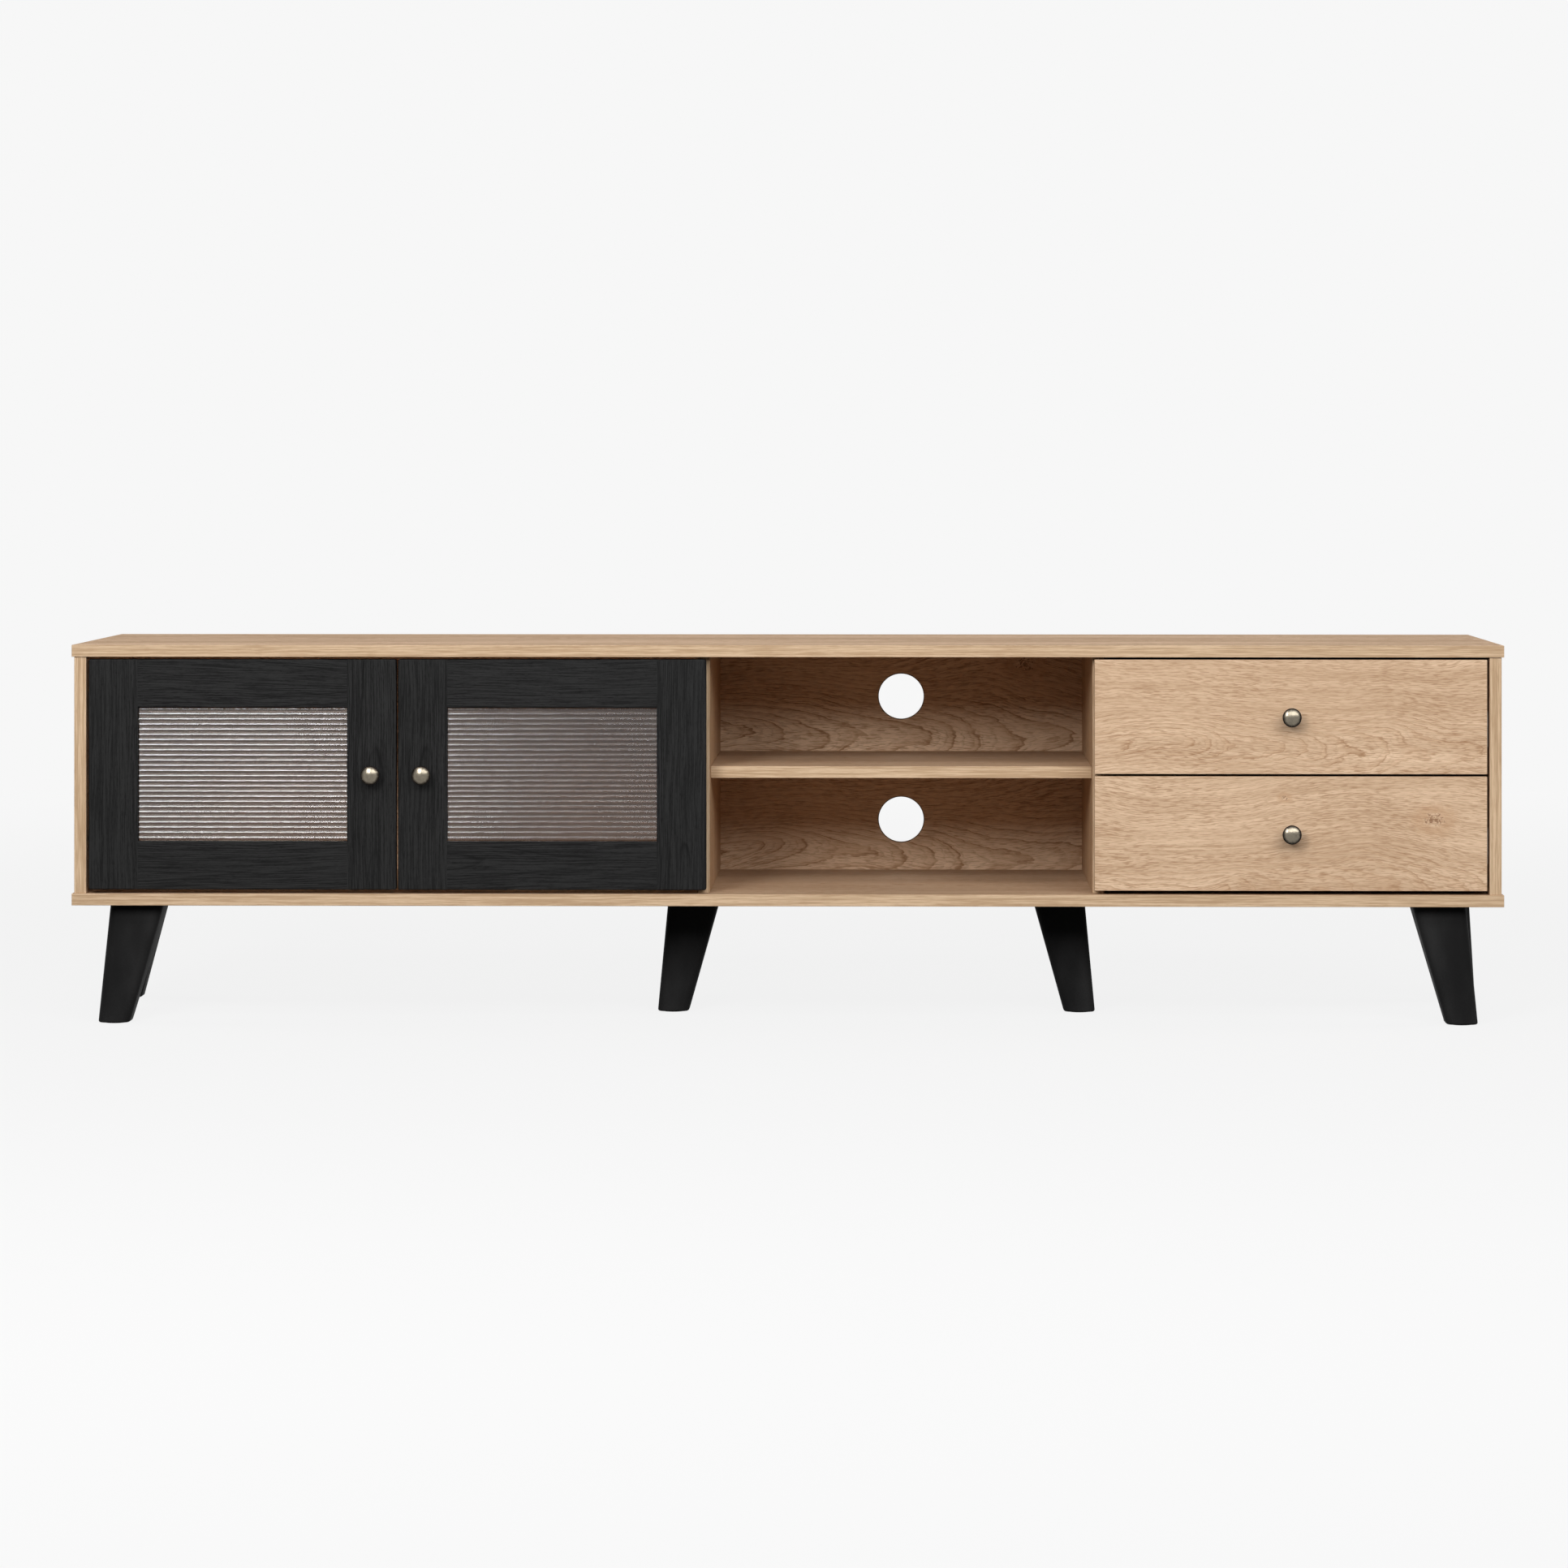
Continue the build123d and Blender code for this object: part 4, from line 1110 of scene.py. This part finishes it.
@dataclass
class Leg:
    """A splayed, tapered leg: a rounded square that shrinks to a softly rounded foot."""

    top: float = 68.0 * MM
    foot: float = 40.0 * MM
    lean: float = 13.5 * MM
    corner: float = 11.0 * MM
    foot_round: float = 2.6 * MM
    pocket: float = 14.05 * MM
    pocket_top: float = 3.0 * MM
    corner_steps: int = 9
    round_steps: int = 6

    def rounded_square(self, half: np.ndarray, corner: np.ndarray) -> np.ndarray:
        """Rings of a rounded square: each corner is a quarter circle about its own middle.

        Args:
            half: half widths, one for each ring.
            corner: corner radii, one for each ring.

        Returns:
            Rings of (x, y) about the middle.
        """
        angle = np.radians(np.linspace(0, 90, self.corner_steps) + 90 * np.arange(4)[:, None])
        round_corner = np.stack((np.cos(angle), np.sin(angle)), axis=-1)
        corner_middle = np.array(((1, 1), (-1, 1), (-1, -1), (1, -1)))[:, None]
        flat = (half - corner)[:, None, None, None] * corner_middle
        rings = flat + corner[:, None, None, None] * round_corner
        return rings.reshape(len(half), -1, 2)

    def build(self, node: str, side: int, forward: int) -> Object:
        """Lofts the rounded squares from the pocket for the glide, round the foot's edge, up to the top.

        At a share t of the height, the half width and the middle lie a share t from the foot's to the
        top's. The foot's edge draws in by r minus the root of r squared minus (r minus rise) squared.

        Args:
            node: the CAD leg, which gives the box.
            side: the side that the leg leans to, -1 or 1.
            forward: the way along y that the leg leans, -1 or 1.

        Returns:
            The closed leg.
        """
        low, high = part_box(node)
        turn = np.linspace(0, np.pi / 2, self.round_steps)
        rise = self.foot_round * (1 - np.cos(turn))
        inset = self.foot_round * (1 - np.sin(turn))
        height = np.concatenate((low.z + rise, (high.z,)))
        share = (height - low.z) / (high.z - low.z)
        drawn_in = np.concatenate((inset, (0,)))
        half = (self.foot + share * (self.top - self.foot)) / 2 - drawn_in
        outline = self.rounded_square(half, self.corner - drawn_in)
        outer = np.array((low.x if side < 0 else high.x, low.y if forward < 0 else high.y))
        way = np.array((side, forward))
        foot_middle = outer - way * self.foot / 2
        top_middle = foot_middle - way * ((self.top - self.foot) / 2 + self.lean)
        middle = foot_middle + share[:, None] * (top_middle - foot_middle)
        angle = np.arctan2(outline[0, :, 1], outline[0, :, 0])
        circle = np.stack((np.cos(angle), np.sin(angle)), axis=-1) * self.pocket + foot_middle
        flat = np.concatenate((circle[None], circle[None], outline + middle[:, None]))
        level = np.concatenate(((self.pocket_top, low.z), height))
        rings = np.concatenate((flat, np.broadcast_to(level[:, None, None], (*flat.shape[:2], 1))), axis=-1)
        poles = np.array(((*foot_middle, self.pocket_top), (*top_middle, high.z)))
        return capped_tube(f"{node}_moulded", rings, poles)


@dataclass
class Carcass:
    """The boards, back panels and legs that stand still."""

    body: str = "carcass"

    def boards(self) -> dict[str, OakBoard]:
        """The oak figures of the carcass.

        Returns:
            Each board's node with its finish.
        """
        # Boards inside the bays get darker copies of the oak print as painted shade; the dividers get a
        # deeper painted shade.
        inner_painted_shade = dict(light=(0.600, 0.425, 0.280), dark=(0.470, 0.315, 0.200), speckle=0.6)
        deeper_painted_shade = inner_painted_shade | dict(light=(0.580, 0.390, 0.238), dark=(0.455, 0.292, 0.172))
        upright = dict(grain=Axis.Z, thickness=Axis.X, figure=0.4)
        back = dict(thickness=Axis.Y, bare_rear_face=True, repeat=0.155, figure=1.5, blush=0.5)
        back |= dict(light=(0.800, 0.587, 0.405), dark=(0.690, 0.475, 0.312))
        top = dict(light=(0.815, 0.597, 0.412), dark=(0.520, 0.352, 0.225), knots=((-0.73, 0.17, 0.012),))
        holes = ((0.0, 0.082, 0.03), (0.0, -0.082, 0.03))
        centre = dict(spacing=0.006, knots=((0.165, 0.125, 0.012),), holes=holes)
        return {
            "top_panel": OakBoard(heart=0.03, tilt=0.05, figure=1.1, blush=0.5, speckle=0.8, seed=1.3, **top),
            "bottom_panel": OakBoard(heart=-0.05, tilt=-0.05, seed=2.9, **inner_painted_shade),
            "centre_shelf": OakBoard(heart=0.02, tilt=0.06, seed=4.1, **inner_painted_shade),
            "left_side_panel": OakBoard(seed=5.3, heart=0.04, **upright),
            "right_side_panel": OakBoard(seed=6.7, heart=-0.05, **upright),
            "left_divider": OakBoard(seed=7.9, heart=0.06, **upright, **deeper_painted_shade),
            "right_divider": OakBoard(seed=8.3, heart=-0.03, **upright, **deeper_painted_shade),
            "left_back_panel": OakBoard(seed=9.1, heart=0.03, tilt=0.06, **back),
            "centre_back_panel": OakBoard(seed=10.7, heart=0.028, tilt=0.11, **centre, **back),
            "right_back_panel": OakBoard(seed=11.9, heart=-0.02, tilt=-0.06, **back),
        }

    def legs(self) -> None:
        """Makes the six legs."""
        low, high = (0.0110, 0.0108, 0.0109), (0.0240, 0.0237, 0.0238)
        finish = MouldedPlastic("black_leg_plastic", low, high, 0.55).material()
        for place, forward in (("front", -1), ("middle", -1), ("rear", 1)):
            for name, side in (("left", -1), ("right", 1)):
                node = f"{place}_{name}_leg"
                stand_for(Leg().build(node, side, forward), node, self.body, finish)

    def build(self) -> None:
        """Dresses the boards and makes the legs."""
        for node, finish in self.boards().items():
            dress(node, finish.material(node))
        self.legs()


@dataclass
class Door:
    """A framed door with its reeded pane and knob."""

    body: str

    def build(self, glass: Material, metal: Material, bead: Material) -> None:
        """Dresses the frame and makes the pane and the knob.

        Args:
            glass: the pane's finish.
            metal: the knob's finish.
            bead: the glazing beads' finish.
        """
        stiles = {"hinge_stile": Axis.Z, "meeting_stile": Axis.Z}
        rails = {"top_rail": Axis.X, "bottom_rail": Axis.X}
        for member, grain in (stiles | rails).items():
            node = f"{self.body}_{member}"
            dress(node, BlackWoodgrain(grain).material(node))
        dress(f"{self.body}_glazing_beads", bead)
        pane, knob = f"{self.body}_glass", f"{self.body}_knob"
        stand_for(Pane().build(pane), pane, self.body, glass)
        stand_for(Knob().build(knob), knob, self.body, metal)


@dataclass
class Drawer:
    """A drawer: an oak front on a plain box."""

    body: str
    front: OakBoard

    def build(self, metal: Material) -> None:
        """Dresses the front and the box, and makes the knob.

        Args:
            metal: the knob's finish.
        """
        front = f"{self.body}_front"
        dress(front, self.front.material(front))
        side = dict(grain=Axis.Y, thickness=Axis.X, figure=0.3, bare_rear_edge=False)
        box = {
            "left_side": OakBoard(seed=12.1, **side),
            "right_side": OakBoard(seed=13.3, **side),
            "back": OakBoard(Axis.X, Axis.Y, figure=0.3, seed=14.7),
            "bottom": OakBoard(Axis.X, Axis.Z, figure=0.4, seed=15.1),
        }
        for member, finish in box.items():
            node = f"{self.body}_{member}"
            dress(node, finish.material(node))
        knob = f"{self.body}_knob"
        stand_for(Knob().build(knob), knob, self.body, metal)


@dataclass
class Hardware:
    """Hinges, slides, fasteners and glides."""

    doors: tuple[str, ...]
    drawers: tuple[str, ...]

    def build(self) -> None:
        """Dresses every metal fitting, the dowels and the glides."""
        plated = ZincSteel("zinc_fittings", Axis.Z).material()
        rolled = ZincSteel("zinc_slides", Axis.Y).material()
        nodes = ["carcass_fasteners", "leg_bolts_and_inserts"]
        nodes += ["hinge_arms", "hinge_plates", "hardware_screws"]
        nodes += [f"{door}_{piece}" for door in self.doors for piece in ("hinge_cups", "screws")]
        nodes += [f"{drawer}_fixings" for drawer in self.drawers]
        for node in nodes:
            dress(node, plated)
        rails = [f"{drawer}_{piece}" for drawer in self.drawers for piece in ("rails", "middle_rails")]
        for node in ("cabinet_rails", *rails):
            dress(node, rolled)
        dress("carcass_dowels", PlainBeech().material())
        glide = MouldedPlastic("grey_glide", (0.03, 0.03, 0.03), (0.06, 0.06, 0.06), 0.5)
        dress("leg_glides", glide.material())


# Studio


WHITE = (1.0, 1.0, 1.0)


@dataclass(frozen=True)
class Softbox:
    """A flat soft lamp that faces a point."""

    name: str
    place: tuple[float, float, float]
    aim: tuple[float, float, float]
    size: tuple[float, float]
    power: float
    mirrored: bool = True

    def build(self) -> None:
        """Hangs the lamp, which shows in gloss only if it is mirrored."""
        lamp = bpy.data.lights.new(self.name, "AREA")
        lamp.shape = "RECTANGLE"
        lamp.size, lamp.size_y = self.size
        lamp.energy = self.power
        holder = bpy.data.objects.new(self.name, lamp)
        holder.location = self.place
        holder.visible_glossy = self.mirrored
        holder.rotation_euler = (Vector(self.aim) - Vector(self.place)).to_track_quat("-Z", "Y").to_euler()
        bpy.context.scene.collection.objects.link(holder)


@dataclass
class Studio:
    """A pale floor that runs out into a white room, soft lamps, and the camera."""

    white: float = 0.93
    ambient: float = 0.10
    floor_glow: float = 0.855
    floor_shade: float = 0.06
    floor_radius: float = 60.0
    floor_rings: int = 12
    floor_segments: int = 96
    fade: tuple[float, float] = (1.6, 4.5)
    eye: tuple[float, float, float] = (0.1468, -6.435, 0.7075)
    lens: float = 114.2
    shift: tuple[float, float] = (-0.029, -0.205)
    turn: float = math.radians(0.85)
    lamps: tuple[Softbox, ...] = (
        Softbox("left_softbox", (-1.25, -3.6, 1.85), (-0.4, 0.0, 0.3), (1.0, 1.4), 79.0),
        Softbox("right_softbox", (1.55, -3.6, 1.85), (0.6, 0.0, 0.3), (3.9, 1.4), 89.0),
        Softbox("high_softbox", (0.0, -2.7, 2.9), (0.0, 0.0, 0.35), (6.0, 0.7), 45.0),
        Softbox("rear_softbox", (0.0, 3.6, 1.8), (0.0, 0.2, 0.3), (3.0, 1.6), 30.0, False),
        Softbox("left_fill", (-4.0, 0.7, 1.6), (-0.9, 0.0, 0.3), (1.6, 1.6), 40.0, False),
        Softbox("right_fill", (4.0, 0.7, 1.6), (0.9, 0.0, 0.3), (1.6, 1.6), 40.0, False),
    )

    def seen(self, graph: Graph) -> Socket:
        """Tells the rays that show the background itself: from the camera, in metal, or through glass.

        Args:
            graph: the graph of the room or the floor.

        Returns:
            1 for these rays, 0 for others.
        """
        path = graph.node("ShaderNodeLightPath")
        direct = graph.math("MAXIMUM", path.outputs["Is Camera Ray"], path.outputs["Is Glossy Ray"])
        return graph.math("MAXIMUM", direct, path.outputs["Is Transmission Ray"])

    def room(self) -> None:
        """The white room, which lights the object only a little."""
        world = bpy.data.worlds.new("white_room")
        bpy.context.scene.world = world
        world.use_nodes = True
        graph = Graph(world.node_tree)
        back = next(item for item in graph.tree.nodes if item.type == "BACKGROUND")
        strength = graph.linear(self.seen(graph), self.white - self.ambient, self.ambient)
        graph.fill(back.inputs, Color=WHITE, Strength=strength)

    def floor(self) -> None:
        """A round floor: a disc of rings whose radius grows evenly, one point in its middle."""
        angle = np.linspace(0, 2 * np.pi, self.floor_segments, endpoint=False)
        radius = np.linspace(0, self.floor_radius, self.floor_rings + 1)[1:, None]
        rings = np.stack((radius * np.cos(angle), radius * np.sin(angle), 0 * radius + 0 * angle), axis=-1)
        points = np.concatenate((rings.reshape(-1, 3), np.zeros((1, 3))))
        sides = ring_faces(self.floor_rings, self.floor_segments)[:, ::-1]
        centre = fan_faces(np.arange(self.floor_segments), len(points) - 1)
        piece = new_piece("studio_floor", points, (sides, centre))
        material, graph, shader, coords = Finish().start("pale_floor")
        far = graph.ramp(graph.length(coords["Object"]), *self.fade)
        shade = graph.linear(far, -self.floor_shade, self.floor_shade)
        glow = graph.linear(far, self.white - self.floor_glow, self.floor_glow)
        graph.fill(
            shader.inputs,
            Base_Color=graph.join(shade, shade, shade),
            Roughness=1.0,
            Specular_IOR_Level=0.0,
            Emission_Color=WHITE,
            Emission_Strength=graph.times(glow, self.seen(graph)),
        )
        piece.data.materials.append(material)

    def camera(self) -> None:
        """A level camera, turned a little and shifted to frame the whole cabinet."""
        data = bpy.data.cameras.new("photo_camera")
        data.lens = self.lens
        data.shift_x, data.shift_y = self.shift
        holder = bpy.data.objects.new("photo_camera", data)
        holder.location = self.eye
        holder.rotation_euler = (math.pi / 2, 0.0, self.turn)
        bpy.context.scene.collection.objects.link(holder)
        bpy.context.scene.camera = holder

    def build(self) -> None:
        """Sets up the room, the floor, the lamps, the camera and the plain view transform."""
        self.room()
        self.floor()
        for lamp in self.lamps:
            lamp.build()
        self.camera()
        bpy.context.scene.view_settings.view_transform = "Standard"


def main() -> None:
    """Builds the sub-assemblies and the studio in order."""
    logging.basicConfig(level=logging.INFO, format="%(name)s: %(message)s")
    glass = ReededGlass().material()
    metal = AntiqueNickel().material()
    bead = MouldedPlastic("black_bead", (0.010, 0.010, 0.010), (0.022, 0.022, 0.022), 0.42).material()
    Carcass().build()
    doors = ("left_door", "right_door")
    for body in doors:
        Door(body).build(glass, metal, bead)
    across = dict(grain=Axis.X, thickness=Axis.Y)
    knots = ((0.179, 0.017, 0.012), (-0.008, 0.045, 0.004))
    upper = dict(heart=-0.045, depth=0.0415, tilt=0.1, spacing=0.0038, seed=20.3)
    lower = dict(heart=-0.075, depth=0.045, tilt=0.08, spacing=0.0045, figure=0.7, seed=21.9, knots=knots)
    fronts = {"upper_drawer": OakBoard(**across, **upper), "lower_drawer": OakBoard(**across, **lower)}
    for body, front in fronts.items():
        Drawer(body, front).build(metal)
    Hardware(doors, tuple(fronts)).build()
    Studio().build()


if __name__ == "__main__":
    main()
